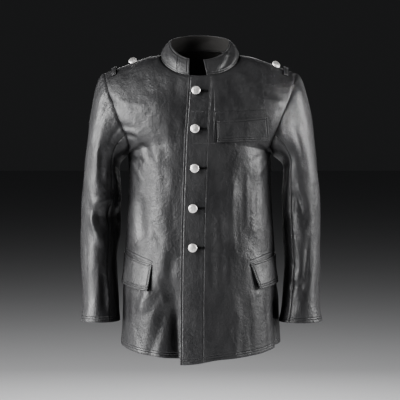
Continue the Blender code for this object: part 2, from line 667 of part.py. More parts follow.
def seam_shift(grid, normals, cosines, sewn):
    """Moves that take the border of a grid half a seam gap back from each sewn border edge.

    cosines tell how sharp the crease is at each point: the pieces step further back at a sharp
    one.  sewn is a function of a border edge's two places that says if it is sewn.
    """
    shift = np.zeros_like(grid)
    places = border_places(grid)
    count = len(places)
    for index, place in enumerate(places):
        before = places[index - 1]
        after = places[(index + 1) % count]
        normal = normals[place]
        way_in = unit(grid[place] - grid[before])
        way_out = unit(grid[after] - grid[place])
        inward_in = unit(np.cross(normal, way_in))
        inward_out = unit(np.cross(normal, way_out))
        half_gap = SEAM_GAP / 2 / max(cosines[place], LEAST_SEAM)
        gap_in = half_gap if sewn(before, place) else 0.0
        gap_out = half_gap if sewn(place, after) else 0.0
        if gap_in == 0.0 and gap_out == 0.0:
            continue
        turn = float(np.dot(inward_in, inward_out))
        if turn > SAME_WAY:
            shift[place] = unit(inward_in + inward_out) * max(gap_in, gap_out)
            continue
        # The move whose parts along the two inward ways are the two gaps
        bottom = 1 - turn * turn
        first = (gap_in - turn * gap_out) / bottom
        second = (gap_out - turn * gap_in) / bottom
        shift[place] = first * inward_in + second * inward_out
    return shift


def crease_cosines(grids, normals):
    """How sharply the faces round each point slope from its normal: 1 flat, less at a crease."""
    sums, parts = {}, {}
    for name, grid in grids.items():
        a, b, c, d = grid[:-1, :-1], grid[:-1, 1:], grid[1:, 1:], grid[1:, :-1]
        face = unit(np.cross(c - a, d - b))
        total = np.zeros(grid.shape[:2])
        count = np.zeros(grid.shape[:2])
        lower, upper = slice(None, -1), slice(1, None)
        for rows, columns in ((lower, lower), (lower, upper), (upper, upper), (upper, lower)):
            total[rows, columns] += np.sum(face * normals[name][rows, columns], axis=-1)
            count[rows, columns] += 1
        parts[name] = (total, count)
        for place in border_places(grid):
            key = point_key(grid[place])
            old = sums.get(key, (0.0, 0.0))
            sums[key] = (old[0] + total[place], old[1] + count[place])
    cosines = {}
    for name, grid in grids.items():
        total, count = parts[name]
        for place in border_places(grid):
            total[place], count[place] = sums[point_key(grid[place])]
        cosines[name] = total / count
    return cosines


def leather_material(name):
    """Black leather, a little glossy; the kind of piece sets the tone."""
    for kind, colour, roughness in LEATHER_COLOURS:
        if name.startswith(kind):
            break
    material = bpy.data.materials.new(name)
    material.use_nodes = True
    shader = material.node_tree.nodes["Principled BSDF"]
    shader.inputs["Base Color"].default_value = (*colour, 1.0)
    shader.inputs["Roughness"].default_value = roughness
    material.diffuse_color = (*colour, 1.0)
    return material


def metal_material(name):
    """Silver coloured metal of a button."""
    material = bpy.data.materials.new(name)
    material.use_nodes = True
    shader = material.node_tree.nodes["Principled BSDF"]
    shader.inputs["Base Color"].default_value = (*METAL_COLOUR, 1.0)
    shader.inputs["Metallic"].default_value = 1.0
    shader.inputs["Roughness"].default_value = METAL_ROUGHNESS
    material.diffuse_color = (*METAL_COLOUR, 1.0)
    return material


def finish_object(name, mesh_builder, material):
    """Make an object of a finished bmesh, shaded smooth with its sharp rims kept."""
    mesh = bpy.data.meshes.new(name)
    mesh_builder.to_mesh(mesh)
    mesh_builder.free()
    mesh.materials.append(material)
    mesh.shade_smooth()
    mesh.set_sharp_from_angle(angle=math.radians(SHARP_EDGE))
    piece = bpy.data.objects.new(name, mesh)
    bpy.context.scene.collection.objects.link(piece)
    return piece


def cloth_piece(name, outer, inner):
    """A wall between two grids of points: a flat slab is drawn out, then laid on the grids."""
    rows, columns = outer.shape[0] - 1, outer.shape[1] - 1
    builder = bmesh.new()
    bmesh.ops.create_grid(builder, x_segments=columns, y_segments=rows, size=0.5)
    for vertex in builder.verts:
        across = round((vertex.co.x + 0.5) * columns)
        up = round((vertex.co.y + 0.5) * rows)
        vertex.co = (across + GRID_SKEW * up, up, 0.0)
    drawn = bmesh.ops.extrude_face_region(builder, geom=list(builder.faces), use_keep_orig=True)
    for item in drawn["geom"]:
        if isinstance(item, bmesh.types.BMVert):
            item.co.z = 1.0
    bmesh.ops.recalc_face_normals(builder, faces=list(builder.faces))
    level_faces = [face for face in builder.faces if len({round(v.co.z) for v in face.verts}) == 1]
    bmesh.ops.triangulate(builder, faces=level_faces, quad_method="SHORT_EDGE")
    outer_side = {vertex: vertex.co.z > 0.5 for vertex in builder.verts}
    for vertex in builder.verts:
        up = round(vertex.co.y)
        across = round(vertex.co.x - GRID_SKEW * up)
        layer = outer if outer_side[vertex] else inner
        vertex.co = layer[up, across]
    for face in [face for face in builder.faces if len(face.verts) == 4]:
        split_rim(face, outer_side)
    return finish_object(name, builder, leather_material(name))


def split_rim(face, outer_side):
    """Split a face of the rim the same way as the face of the piece across the seam."""
    outer_pair = [vertex for vertex in face.verts if outer_side[vertex]]
    first = max(outer_pair, key=lambda vertex: float(np.dot(vertex.co, RIM_ORDER)))
    inner_pair = [vertex for vertex in face.verts if not outer_side[vertex]]
    beside = {edge.other_vert(first) for edge in first.link_edges}
    across = next(vertex for vertex in inner_pair if vertex not in beside)
    bmesh.utils.face_split(face, first, across)


def sewn_everywhere(_start, _end):
    """Every border edge is sewn."""
    return True


def front_sewn(grid, side):
    """Sewn edges of a front: the side and armhole, the shoulder, and the neckline under the collar."""
    rows, columns = grid.shape[0] - 1, grid.shape[1] - 1
    outer_column = columns if side > 0 else 0

    def sewn(start, end):
        if start[1] == outer_column and end[1] == outer_column:
            return True
        if start[0] == rows and end[0] == rows:
            from_edge = [place[1] if side > 0 else columns - place[1] for place in (start, end)]
            return min(from_edge) >= LAP_COLUMNS
        return False

    return sewn


def back_sewn(grid):
    """Sewn edges of the back: all but the hem."""
    def sewn(start, end):
        return not (start[0] == 0 and end[0] == 0)

    return sewn


def sleeve_sewn(grid):
    """Sewn edges of a sleeve piece: all but the cuff."""
    rows = grid.shape[0] - 1

    def sewn(start, end):
        return not (start[0] == rows and end[0] == rows)

    return sewn


def collar_sewn(start, end):
    """Sewn edges of the collar: its lower edge."""
    return start[0] == 0 and end[0] == 0


def make_body():
    """Grids of the fronts and the back, with the lap and the folds."""
    left = front_base(OVERLAP_EDGE, COLLAR_END_LEFT)
    right = mirrored(front_base(UNDERLAP_EDGE, COLLAR_END_RIGHT))
    back = back_base()[:, ::-1]
    grids = {"front_left": left, "front_right": right, "back": back}
    normals = shared_normals(grids)
    for name, grid in grids.items():
        levels = level_of_row(np.arange(grid.shape[0]))[:, None]
        out = fold_heights(BODY_FOLDS, *fold_places(grid))
        sides = "lr" if name == "back" else ("r" if name == "front_left" else "l")
        above = ease((levels - SEAM_CALM_LEVEL) / SEAM_CALM_SPAN)
        out = out * (1 - above + above * edge_fade(grid, sides)) * edge_fade(grid, "t")
        if name == "front_left":
            out = out * ease((grid[..., 0] - LAP_FLAT) / LAP_FLAT_RAMP)
            out = out + LAP_OFFSET * ease((LAP_START - grid[..., 0]) / LAP_RAMP)
        if name == "front_right":
            out = out + fold_heights(UNDER_FRONT_SWING, *fold_places(grid))
            out = np.where(grid[..., 0] > UNDER_LAP, np.minimum(out, 0.0), out)
            out = out - LAP_OFFSET * ease((grid[..., 0] - UNDER_LAP_START) / LAP_RAMP)
        if name == "front_left":
            drop = OVERLAP_DIP * ease((DIP_START - grid[..., 0]) / DIP_WIDTH)
            grid[..., 2] -= drop * (1 - ease(levels / DIP_LEVELS))
        grids[name] = grid + normals[name] * out[..., None]
    return grids


def make_sleeve(loop, table, cuff_height, folds):
    """Grid of a whole sleeve on the +X side, with its folds."""
    base = sleeve_base(loop, table, cuff_height)
    normals = shared_normals({"sleeve": base[:, ::-1]})["sleeve"][:, ::-1]
    angles = np.degrees(ring_angles())[None, :] + np.zeros(base.shape[:2])
    reach = np.full(base.shape[:2], math.radians(1.0) * SLEEVE_RADIUS)
    out = fold_heights(folds, angles, base[..., 2], reach)
    row = np.arange(base.shape[0])[:, None]
    out = out * ease(row / CALM_SLEEVE_ROWS)
    moved = base + normals * out[..., None]
    moved[:, -1] = moved[:, 0]
    return moved


def split_sleeve(grid, side):
    """Top and under pieces of a sleeve, faces out, on its own side of the body."""
    top = grid[:, FRONT_SEAM_COLUMN:BACK_SEAM_COLUMN + 1]
    under = np.concatenate([grid[:, BACK_SEAM_COLUMN:-1], grid[:, :FRONT_SEAM_COLUMN + 1]], axis=1)
    if side > 0:
        return top[:, ::-1], under[:, ::-1]
    flip = np.array([-1.0, 1.0, 1.0])
    return top * flip, under * flip


def collar_top_point(angle, face):
    """Point of the collar's upper edge."""
    depth = COLLAR_TOP_FRONT_DEPTH if face < 0 else COLLAR_TOP_BACK_DEPTH
    climb = -COLLAR_TOP_FRONT_DROP if face < 0 else COLLAR_TOP_BACK_RISE
    cosine = np.cos(angle)
    return np.stack([COLLAR_TOP_HALF_WIDTH * np.sin(angle), face * depth * cosine,
                     COLLAR_TOP_HEIGHT + climb * cosine], axis=-1)


def make_collar(grids):
    """Grid of the collar band, columns from the wearer's right end round the back to the left."""
    right = grids["front_right"][-1, ::-1][LAP_COLUMNS:LAP_COLUMNS + NECK_COLUMNS + 1]
    left = grids["front_left"][-1][LAP_COLUMNS:LAP_COLUMNS + NECK_COLUMNS + 1]
    back = grids["back"][-1][SHOULDER_COLUMNS:-SHOULDER_COLUMNS][::-1]
    base = np.concatenate([right, back[1:-1], left[::-1]])
    quarter = math.pi / 2
    steps = np.arange(NECK_COLUMNS + 1) / NECK_COLUMNS
    right_start = math.asin(COLLAR_END_RIGHT_TOP / COLLAR_TOP_HALF_WIDTH)
    left_start = math.asin(COLLAR_END_LEFT_TOP / COLLAR_TOP_HALF_WIDTH)
    right_top = collar_top_point(right_start + (quarter - right_start) * steps, -1)
    right_top[:, 0] *= -1
    left_top = collar_top_point(left_start + (quarter - left_start) * steps, -1)
    back_angles = quarter * np.linspace(-1.0, 1.0, 2 * BACK_NECK_COLUMNS + 1)
    back_top = collar_top_point(back_angles, 1)
    top = np.concatenate([right_top, back_top[1:-1], left_top[::-1]])
    outward = unit(np.stack([base[:, 0], base[:, 1], np.full(len(base), COLLAR_LEAN)], axis=-1))
    grid = []
    for row in range(COLLAR_ROWS + 1):
        s = row / COLLAR_ROWS
        grid.append(base * (1 - s) + top * s + outward * COLLAR_BULGE * 4 * s * (1 - s))
    return np.array(grid)[:, ::-1]


def place_on_panel(grid, x, z):
    """Fractional row and column of a panel where its surface has a sideways place and height."""
    best = None
    for row in range(grid.shape[0] - 1):
        for place in range(grid.shape[1] - 1):
            corners = grid[row:row + 2, place:place + 2]
            low, high = corners[..., [0, 2]].min(axis=(0, 1)), corners[..., [0, 2]].max(axis=(0, 1))
            if not (low[0] - 0.004 <= x <= high[0] + 0.004 and low[1] - 0.004 <= z <= high[1] + 0.004):
                continue
            u, v = 0.5, 0.5
            for _step in range(12):
                here = ((1 - u) * (1 - v) * corners[0, 0] + u * (1 - v) * corners[0, 1]
                        + (1 - u) * v * corners[1, 0] + u * v * corners[1, 1])
                along_u = (1 - v) * (corners[0, 1] - corners[0, 0]) + v * (corners[1, 1] - corners[1, 0])
                along_v = (1 - u) * (corners[1, 0] - corners[0, 0]) + u * (corners[1, 1] - corners[0, 1])
                matrix = np.array([[along_u[0], along_v[0]], [along_u[2], along_v[2]]])
                miss = np.array([x - here[0], z - here[2]])
                if abs(np.linalg.det(matrix)) < 1e-12:
                    break
                step = np.linalg.solve(matrix, miss)
                u, v = u + step[0], v + step[1]
            outside = max(-u, u - 1, -v, v - 1, 0.0)
            if best is None or outside < best[0]:
                best = (outside, row + float(np.clip(v, 0, 1)), place + float(np.clip(u, 0, 1)))
    return best[1], best[2]


def on_panel(grid, normals, row, place):
    """Point and normal of a panel's surface at a fractional row and column."""
    row = min(max(row, 0.0), grid.shape[0] - 1.001)
    place = min(max(place, 0.0), grid.shape[1] - 1.001)
    r, c = int(row), int(place)
    v, u = row - r, place - c
    weights = ((1 - v) * (1 - u), (1 - v) * u, v * (1 - u), v * u)
    corners = ((r, c), (r, c + 1), (r + 1, c), (r + 1, c + 1))
    point = sum(weight * grid[corner] for weight, corner in zip(weights, corners))
    normal = unit(sum(weight * normals[corner] for weight, corner in zip(weights, corners)))
    return point, normal


def make_flap(row, grids, normals):
    """Outer and inner grids of a pocket flap that lies on a front."""
    name, panel, *numbers = row
    (inner_top, inner_top_z, inner_low, inner_low_z,
     outer_top, outer_top_z, outer_low, outer_low_z, stand_off, straight) = numbers
    side = 1.0 if panel == "front_left" else -1.0
    grid, normal_grid = grids[panel], normals[panel]
    seen = np.array([(inner_low, inner_low_z), (outer_low, outer_low_z),
                     (inner_top, inner_top_z), (outer_top, outer_top_z)]) * (side, 1.0)
    laid = np.array([place_on_panel(grid, x, z) for x, z in seen])
    outer = np.zeros((FLAP_ROWS + 1, FLAP_COLUMNS + 1, 3))
    inner = np.zeros_like(outer)
    for up in range(FLAP_ROWS + 1):
        v = up / FLAP_ROWS
        for across in range(FLAP_COLUMNS + 1):
            u = across / FLAP_COLUMNS
            weights = np.array([(1 - v) * (1 - u), (1 - v) * u, v * (1 - u), v * u])
            place = place_on_panel(grid, *(weights @ seen)) if straight else weights @ laid
            point, normal = on_panel(grid, normal_grid, place[0], place[1])
            settled = 1.0 if straight else 1 - u ** FLAP_SETTLE
            lift = LAY_GAP + stand_off * (1 - v) ** FLAP_CURL * settled
            inner[up, across] = point + normal * lift
            outer[up, across] = point + normal * (lift + WALL)
    if side < 0:
        outer, inner = outer[:, ::-1], inner[:, ::-1]
    return name, outer, inner


def turned_button(name, seat, facing):
    """A domed button with a raised rim and a shank, turned about the way it faces."""
    r, h = BUTTON_RADIUS, BUTTON_HEIGHT
    profile = (
        (0.0, h * 0.98),
        (r * 0.50, h * 0.90),
        (r * 0.80, h * 0.72),
        (r * 0.90, h * 0.78),
        (r, h * 0.56),
        (r * 0.94, h * 0.36),
        (SHANK_RADIUS, h * 0.30),
        (SHANK_RADIUS, -SHANK_HEIGHT + BUTTON_GAP),
        (0.0, -SHANK_HEIGHT + BUTTON_GAP),
    )
    builder = bmesh.new()
    ring = [builder.verts.new((radius, 0.0, height)) for radius, height in profile]
    edges = [builder.edges.new((ring[i], ring[i + 1])) for i in range(len(ring) - 1)]
    bmesh.ops.spin(builder, geom=ring + edges, axis=(0, 0, 1), cent=(0, 0, 0), dvec=(0, 0, 0),
                   angle=2 * math.pi, steps=BUTTON_STEPS, use_merge=True, use_duplicate=False)
    bmesh.ops.remove_doubles(builder, verts=list(builder.verts), dist=1e-6)
    bmesh.ops.recalc_face_normals(builder, faces=list(builder.faces))
    facing = unit(np.asarray(facing, float))
    first = unit(np.cross(np.array([0.0, 0.0, 1.0]), facing))
    second = np.cross(facing, first)
    for vertex in builder.verts:
        x, y, z = vertex.co
        vertex.co = seat + first * x + second * y + facing * (z + SHANK_HEIGHT)
    return finish_object(name, builder, metal_material(name))


def make_shoulder_loop(name, side, grids, normals):
    """A short strap that bridges the shoulder seam near the sleeve head, ends on the panels."""
    front = grids["front_left"] if side > 0 else grids["front_right"]
    front_normals = normals["front_left"] if side > 0 else normals["front_right"]
    back, back_normals = grids["back"], normals["back"]
    centre, middle_normals = [], []
    for step in range(-SHOULDER_LOOP_STEPS // 2, SHOULDER_LOOP_STEPS // 2 + 1):
        reach = SHOULDER_LOOP_REACH * abs(step) / (SHOULDER_LOOP_STEPS / 2)
        grid, grid_normals = (front, front_normals) if step <= 0 else (back, back_normals)
        point, normal = walk_down(grid, grid_normals, side * SHOULDER_LOOP_X, reach)
        rise = SHOULDER_LOOP_RISE * (1 - (2 * abs(step) / SHOULDER_LOOP_STEPS) ** 4)
        centre.append(point + normal * (LAY_GAP + rise))
        middle_normals.append(normal)
    centre, middle_normals = np.array(centre), np.array(middle_normals)
    along = unit(np.gradient(centre, axis=0))
    across = unit(np.cross(along, middle_normals)) * SHOULDER_LOOP_WIDTH / 2
    inner = np.stack([centre - across, centre, centre + across], axis=1)
    outer = inner + (middle_normals * WALL)[:, None]
    return cloth_piece(name, outer, inner)


def walk_down(grid, normals, x, reach):
    """Point and normal of a panel at a sideways place, a walked distance below its top edge."""
    last = grid.shape[0] - 1
    top_row = grid[last, :, 0]
    order = np.argsort(top_row)
    place = float(np.interp(x, top_row[order], np.arange(grid.shape[1])[order]))
    walked, row = 0.0, float(last)
    point, normal = on_panel(grid, normals, row, place)
    while walked < reach:
        row -= 0.05
        next_point, normal = on_panel(grid, normals, row, place)
        walked += float(np.linalg.norm(next_point - point))
        point = next_point
    return point, normal


def clear_scene():
    """Remove every object that a new Blender file holds."""
    for item in list(bpy.data.objects):
        bpy.data.objects.remove(item, do_unlink=True)


def build_jacket():
    """All the pieces of the jacket."""
    grids = make_body()
    for side, suffix, table, cuff, folds in (
            (1, "left", SLEEVE_LEFT, CUFF_HEIGHT_LEFT, SLEEVE_LEFT_FOLDS),
            (-1, "right", SLEEVE_RIGHT, CUFF_HEIGHT_RIGHT, SLEEVE_RIGHT_FOLDS)):
        loop = armhole_loop(grids["front_" + suffix], grids["back"][:, ::-1], side)
        loop = loop * np.array([side, 1.0, 1.0])
        sleeve = make_sleeve(loop, table, cuff, folds)
        top, under = split_sleeve(sleeve, side)
        grids["sleeve_top_" + suffix] = top
        grids["sleeve_under_" + suffix] = under
    grids["collar"] = make_collar(grids)
    normals = shared_normals(grids)
    cosines = crease_cosines(grids, normals)
    rules = {
        "front_left": front_sewn(grids["front_left"], 1),
        "front_right": front_sewn(grids["front_right"], -1),
        "back": back_sewn(grids["back"]),
        "collar": collar_sewn,
    }
    for name, grid in grids.items():
        rule = rules.get(name) or sleeve_sewn(grid)
        outer = grid + seam_shift(grid, normals[name], cosines[name], rule)
        steps = WALL / np.clip(cosines[name], LEAST_CREASE, 1.0)
        inner = outer - normals[name] * steps[..., None]
        cloth_piece(name, outer, inner)
    for row in FLAPS[1:]:
        name, outer, inner = make_flap(row, grids, normals)
        cloth_piece(name, outer, inner)
    left, left_normals = grids["front_left"], normals["front_left"]
    for number, (x, z) in enumerate(FRONT_BUTTONS[1:], start=1):
        row, place = place_on_panel(left, x, z)
        seat, facing = on_panel(left, left_normals, row, place)
        turned_button("button_%d" % number, seat, facing)
    for name, x, forward, lift, *facing in SHOULDER_BUTTONS[1:]:
        side = 1 if name.endswith("left") else -1
        panel = "front_left" if side > 0 else "front_right"
        seat, normal = walk_down(grids[panel], normals[panel], side * x, forward)
        turned_button(name, seat + normal * lift, facing)
    make_shoulder_loop("shoulder_loop_left", 1, grids, normals)
    make_shoulder_loop("shoulder_loop_right", -1, grids, normals)


clear_scene()
build_jacket()
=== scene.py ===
"""Leather uniform jacket, dressed: cut panels, seams, stitching, buttons, leather and studio.

The file is laid out as a Blender add-on and is run as a script.  Lengths are metres, +Z is up, the
front faces -Y and +X is the wearer's left.  The origin is the middle of the neck opening.

Every cloth panel is a fine grid of points on the same smooth form as its CAD node.  "Level" is 0 at
the hem, 1 at the underarm and 2 at the shoulder seam or neckline.  "Column" counts the same columns
as the CAD panel, from the front or back middle to the side, with finer steps between.
"""

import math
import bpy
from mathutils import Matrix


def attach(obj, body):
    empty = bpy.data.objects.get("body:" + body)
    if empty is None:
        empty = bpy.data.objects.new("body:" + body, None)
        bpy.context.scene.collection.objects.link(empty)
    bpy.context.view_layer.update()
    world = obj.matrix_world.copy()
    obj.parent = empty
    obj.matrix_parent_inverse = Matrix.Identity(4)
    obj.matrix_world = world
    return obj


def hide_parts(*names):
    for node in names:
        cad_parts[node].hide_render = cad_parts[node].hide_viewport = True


bl_info = {
    "name": "Leather uniform jacket",
    "version": (1, 0, 0),
    "blender": (4, 5, 0),
    "location": "3D View > Sidebar > Jacket",
    "description": "Builds the panels, stitching, buttons and studio of a leather uniform jacket",
    "category": "Object",
}

import bmesh
import bpy
import numpy as np
from bpy.props import FloatProperty, FloatVectorProperty, IntProperty, PointerProperty
from mathutils import Matrix, Vector

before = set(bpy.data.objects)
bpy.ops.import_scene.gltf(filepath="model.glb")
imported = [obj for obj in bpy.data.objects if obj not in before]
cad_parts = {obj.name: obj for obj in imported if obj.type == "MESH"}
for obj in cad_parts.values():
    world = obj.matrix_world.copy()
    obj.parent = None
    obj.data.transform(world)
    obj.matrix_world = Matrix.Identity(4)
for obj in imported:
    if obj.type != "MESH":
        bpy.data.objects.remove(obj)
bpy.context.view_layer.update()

# Sizes shared with the CAD panels, in metres
WALL = 0.0020
SEAM_GAP = 0.0003
LAY_GAP = 0.0008
LAP_OFFSET = 0.0014
NECK_HALF_WIDTH = 0.0985
COLLAR_TOP_HALF_WIDTH = 0.0725
COLLAR_BULGE = 0.0035
COLLAR_LEAN = 0.04
OVERLAP_DIP = 0.012
DIP_START = 0.055
DIP_WIDTH = 0.105
DIP_LEVELS = 0.35
LAP_START = 0.045
UNDER_LAP_START = -0.080
LAP_RAMP = 0.03
LAP_FLAT = 0.012
LAP_FLAT_RAMP = 0.02
UNDER_LAP = -0.055
BUTTON_RADIUS = 0.0105
BUTTON_HEIGHT = 0.0062
SHANK_RADIUS = 0.0032
SHANK_HEIGHT = 0.0026
BUTTON_GAP = 0.0004
SHOULDER_LOOP_X = 0.2120
SHOULDER_LOOP_WIDTH = 0.013
SHOULDER_LOOP_REACH = 0.034
SHOULDER_LOOP_RISE = 0.0035
# Half width, depth in front and behind, height at the sides, drop in front and rise behind
NECK_RING = (NECK_HALF_WIDTH, 0.085, 0.072, -0.002, 0.054, 0.016)
COLLAR_TOP_RING = (COLLAR_TOP_HALF_WIDTH, 0.066, 0.058, 0.034, 0.0504, 0.017)

# Columns and rows of the CAD panels, by which folds and seams are placed
SIDE_ROWS = 18
ARMHOLE_ROWS = 12
LAP_COLUMNS = 2
NECK_COLUMNS = 6
SHOULDER_COLUMNS = 6
BACK_NECK_COLUMNS = 4
CAP_ROWS = 8
TUBE_ROWS = 13
FRONT_SEAM_COLUMN = 4
BACK_SEAM_COLUMN = 17
YOKE_LEVEL = 1.67
TOP_LEVEL = 2.0
RING_CROWDING = 7.0

# How the smooth form runs between the tables' points
EARLY_CLIMB = 0.12
LATE_CLIMB = 0.25
YOKE_STEP = 0.04
YOKE_PULL = 0.9
ARMHOLE_HOLD = 6
NECK_FORWARD = 0.62
NECK_UP = 0.78
SHOULDER_UP = 0.05
SHOULDER_UP_BACK = -0.05
TRAPEZE_UP = 0.10
CAP_AWAY_OUT = (0.62, 0.38)
CAP_AWAY_DOWN = (-0.70, 0.36)
CAP_AWAY_FORWARD = 0.10
CAP_LEAVE = (0.34, -0.20)
CAP_ARRIVE = 0.42
FOLD_END = 0.3
FOLD_REACH = 0.5
EDGE_FADE = 2.5
SEAM_CALM_LEVEL = 0.86
SEAM_CALM_SPAN = 0.10
CALM_SLEEVE_ROWS = 3.0
SLEEVE_RADIUS = 0.062
SLEEVE_TOP_HEIGHT = -0.262
SLEEVE_TOP_TILT = 0.024
CUFF_HEIGHT_LEFT = -0.6585
CUFF_HEIGHT_RIGHT = -0.6570
COLLAR_END_LEFT = 0.0158
COLLAR_END_RIGHT = 0.0258
COLLAR_END_LEFT_TOP = 0.0075
COLLAR_END_RIGHT_TOP = 0.0250
NECK_HEADING_HOLD = 1.5
DOWN_PROBE = 0.01
CREASE_CALM_ROWS = 1.5
LAP_CREASE_SHARE = 0.12
COLLAR_FOLD_REACH = 0.3
COLLAR_FOLD_END = 0.5
COLLAR_FOLD_CALM = 0.25
SEAM_DIP_WIDTH = 0.0035
BEHIND_FRONT = 0.02

# How finely lines are read, places are sought and forms are drawn
CURVE_SAMPLES = 400
ROW_SAMPLES = 201
SEEK_STEPS = 8
JUST_INSIDE = 1.001
SEAM_POINTS_PER_METRE = 1e5
TINY = 1e-9
MIRROR = np.array([-1.0, 1.0, 1.0])
CAP_STEPS = 6
TUBE_STEPS = 11
COLLAR_ROWS = 18
LOOP_STEPS = 24
LOOP_COLUMNS = 8

# Soft unevenness: how much it is drawn out downwards, wave length, share of the height, and the
# seed, which is added to each sleeve's own
BODY_WAVES = (
    ("drawn", "length", "seed", "share"),
    (1.0, 0.085, 3, 0.8),
    (0.45, 0.034, 5, 0.5),
)
SLEEVE_WAVES = (
    ("drawn", "length", "seed", "share"),
    (1.0, 0.070, 0, 0.8),
    (0.5, 0.030, 1, 0.5),
)
WAVE_COUNT = 7
WAVE_SPREAD = (0.75, 1.45)
WAVE_BEND = 0.6
BEND_LENGTH = 1.7
BEND_PHASE = 1.3
WAVE_SUM = 4.0

# Gathers of the sleeve heads, by degrees round the arm and metres below the seam
GATHER_COUNT = 19.0
GATHER_SWAYS = (
    ("size", "rate", "phase"),
    (0.75, 0.21, 1.0),
    (0.5, 0.087, 2.0),
)
GATHER_SWAY = 1.8
GATHER_EVEN = 0.6
GATHER_UNEVEN = 0.4
GATHER_FROM = 50.0
GATHER_TO = 310.0
GATHER_RAMP = 50.0
GATHER_RISE = 0.010
GATHER_REACH = 0.032
HEAD_SWELL = 0.0002

CENTRE_FRONT = (
    ("level", "height", "depth"),
    (0, -0.739, 0.148),
    (0.2, -0.634, 0.1425),
    (0.4, -0.529, 0.135),
    (0.6, -0.424, 0.128),
    (0.8, -0.319, 0.1285),
    (1, -0.215, 0.128),
    (1.33, -0.16, 0.1205),
    (1.67, -0.108, 0.1055),
    (2, -0.056, 0.085),
)
CENTRE_BACK = (
    ("level", "height", "depth"),
    (0, -0.722, 0.146),
    (0.2, -0.625, 0.139),
    (0.4, -0.53, 0.124),
    (0.6, -0.435, 0.107),
    (0.8, -0.335, 0.108),
    (1, -0.235, 0.124),
    (1.33, -0.155, 0.134),
    (1.67, -0.07, 0.114),
    (2, 0.014, 0.072),
)
SIDE_SEAM = (
    ("level", "height", "half_width", "set_back"),
    (0, -0.715, 0.197, 0),
    (0.2, -0.621, 0.1925, -0.002),
    (0.4, -0.527, 0.1885, -0.004),
    (0.6, -0.434, 0.183, -0.006),
    (0.8, -0.34, 0.177, -0.005),
    (1, -0.246, 0.178, 0),
)
ROW_SHAPE = (
    ("level", "front_reach", "front_turn_reach", "front_turn",
     "back_reach", "back_turn_reach", "back_turn"),
    (0, 0.125, 0.088, 90, 0.125, 0.088, 90),
    (0.4, 0.118, 0.076, 90, 0.118, 0.074, 90),
    (0.6, 0.112, 0.072, 90, 0.115, 0.064, 90),
    (0.8, 0.108, 0.072, 90, 0.112, 0.066, 90),
    (1, 0.105, 0.072, 86, 0.112, 0.072, 86),
    (1.33, 0.1, 0.04, 55, 0.105, 0.045, 45),
    (1.67, 0.09, 0.05, 38, 0.1, 0.06, 30),
    (2, 0.08, 0.05, 20, 0.09, 0.06, 20),
)
ARMHOLE_FRONT = (
    ("x", "y", "z"),
    (0.178, 0, -0.246),
    (0.1765, -0.034, -0.241),
    (0.173, -0.062, -0.222),
    (0.1805, -0.074, -0.2),
    (0.1915, -0.077, -0.175),
    (0.2055, -0.072, -0.141),
    (0.218, -0.058, -0.11),
    (0.228, -0.036, -0.077),
    (0.237, 0.004, -0.0455),
)
ARMHOLE_BACK = (
    ("x", "y", "z"),
    (0.178, 0, -0.246),
    (0.1775, 0.034, -0.241),
    (0.1745, 0.066, -0.222),
    (0.18, 0.09, -0.19),
    (0.19, 0.1, -0.155),
    (0.203, 0.095, -0.118),
    (0.218, 0.072, -0.083),
    (0.23, 0.04, -0.058),
    (0.237, 0.004, -0.0455),
)
SHOULDER_SEAM = (
    ("x", "y", "z"),
    (0.0985, 0, -0.002),
    (0.125, 0.001, -0.0055),
    (0.148, 0.002, -0.0125),
    (0.178, 0.003, -0.0235),
    (0.205, 0.004, -0.0335),
    (0.237, 0.004, -0.0455),
)
OVERLAP_EDGE = (
    ("level", "past_middle"),
    (0, 0.0478),
    (0.3, 0.0475),
    (0.6, 0.045),
    (1, 0.038),
    (1.5, 0.0325),
    (2, 0.028),
)
UNDERLAP_EDGE = (
    ("level", "past_middle"),
    (0, 0.016),
    (2, 0.016),
)
SLEEVE_LEFT = (
    ("height", "inner", "outer", "set_back", "half_depth"),
    (-0.21, 0.206, 0.285, 0.006, 0.083),
    (-0.27, 0.208, 0.2895, 0.008, 0.081),
    (-0.336, 0.2054, 0.297, 0.01, 0.078),
    (-0.4357, 0.2058, 0.2995, 0.01, 0.072),
    (-0.51, 0.211, 0.2995, 0, 0.065),
    (-0.585, 0.206, 0.2985, -0.014, 0.058),
    (-0.635, 0.2005, 0.2985, -0.024, 0.053),
    (-0.6585, 0.195, 0.3025, -0.029, 0.05),
)
SLEEVE_RIGHT = (
    ("height", "inner", "outer", "set_back", "half_depth"),
    (-0.21, 0.204, 0.2795, 0.006, 0.081),
    (-0.27, 0.202, 0.286, 0.008, 0.08),
    (-0.311, 0.199, 0.29, 0.009, 0.078),
    (-0.38, 0.1965, 0.296, 0.01, 0.073),
    (-0.4357, 0.1985, 0.2975, 0.009, 0.07),
    (-0.51, 0.207, 0.2965, -0.001, 0.063),
    (-0.585, 0.203, 0.292, -0.014, 0.056),
    (-0.657, 0.1985, 0.2945, -0.029, 0.05),
)

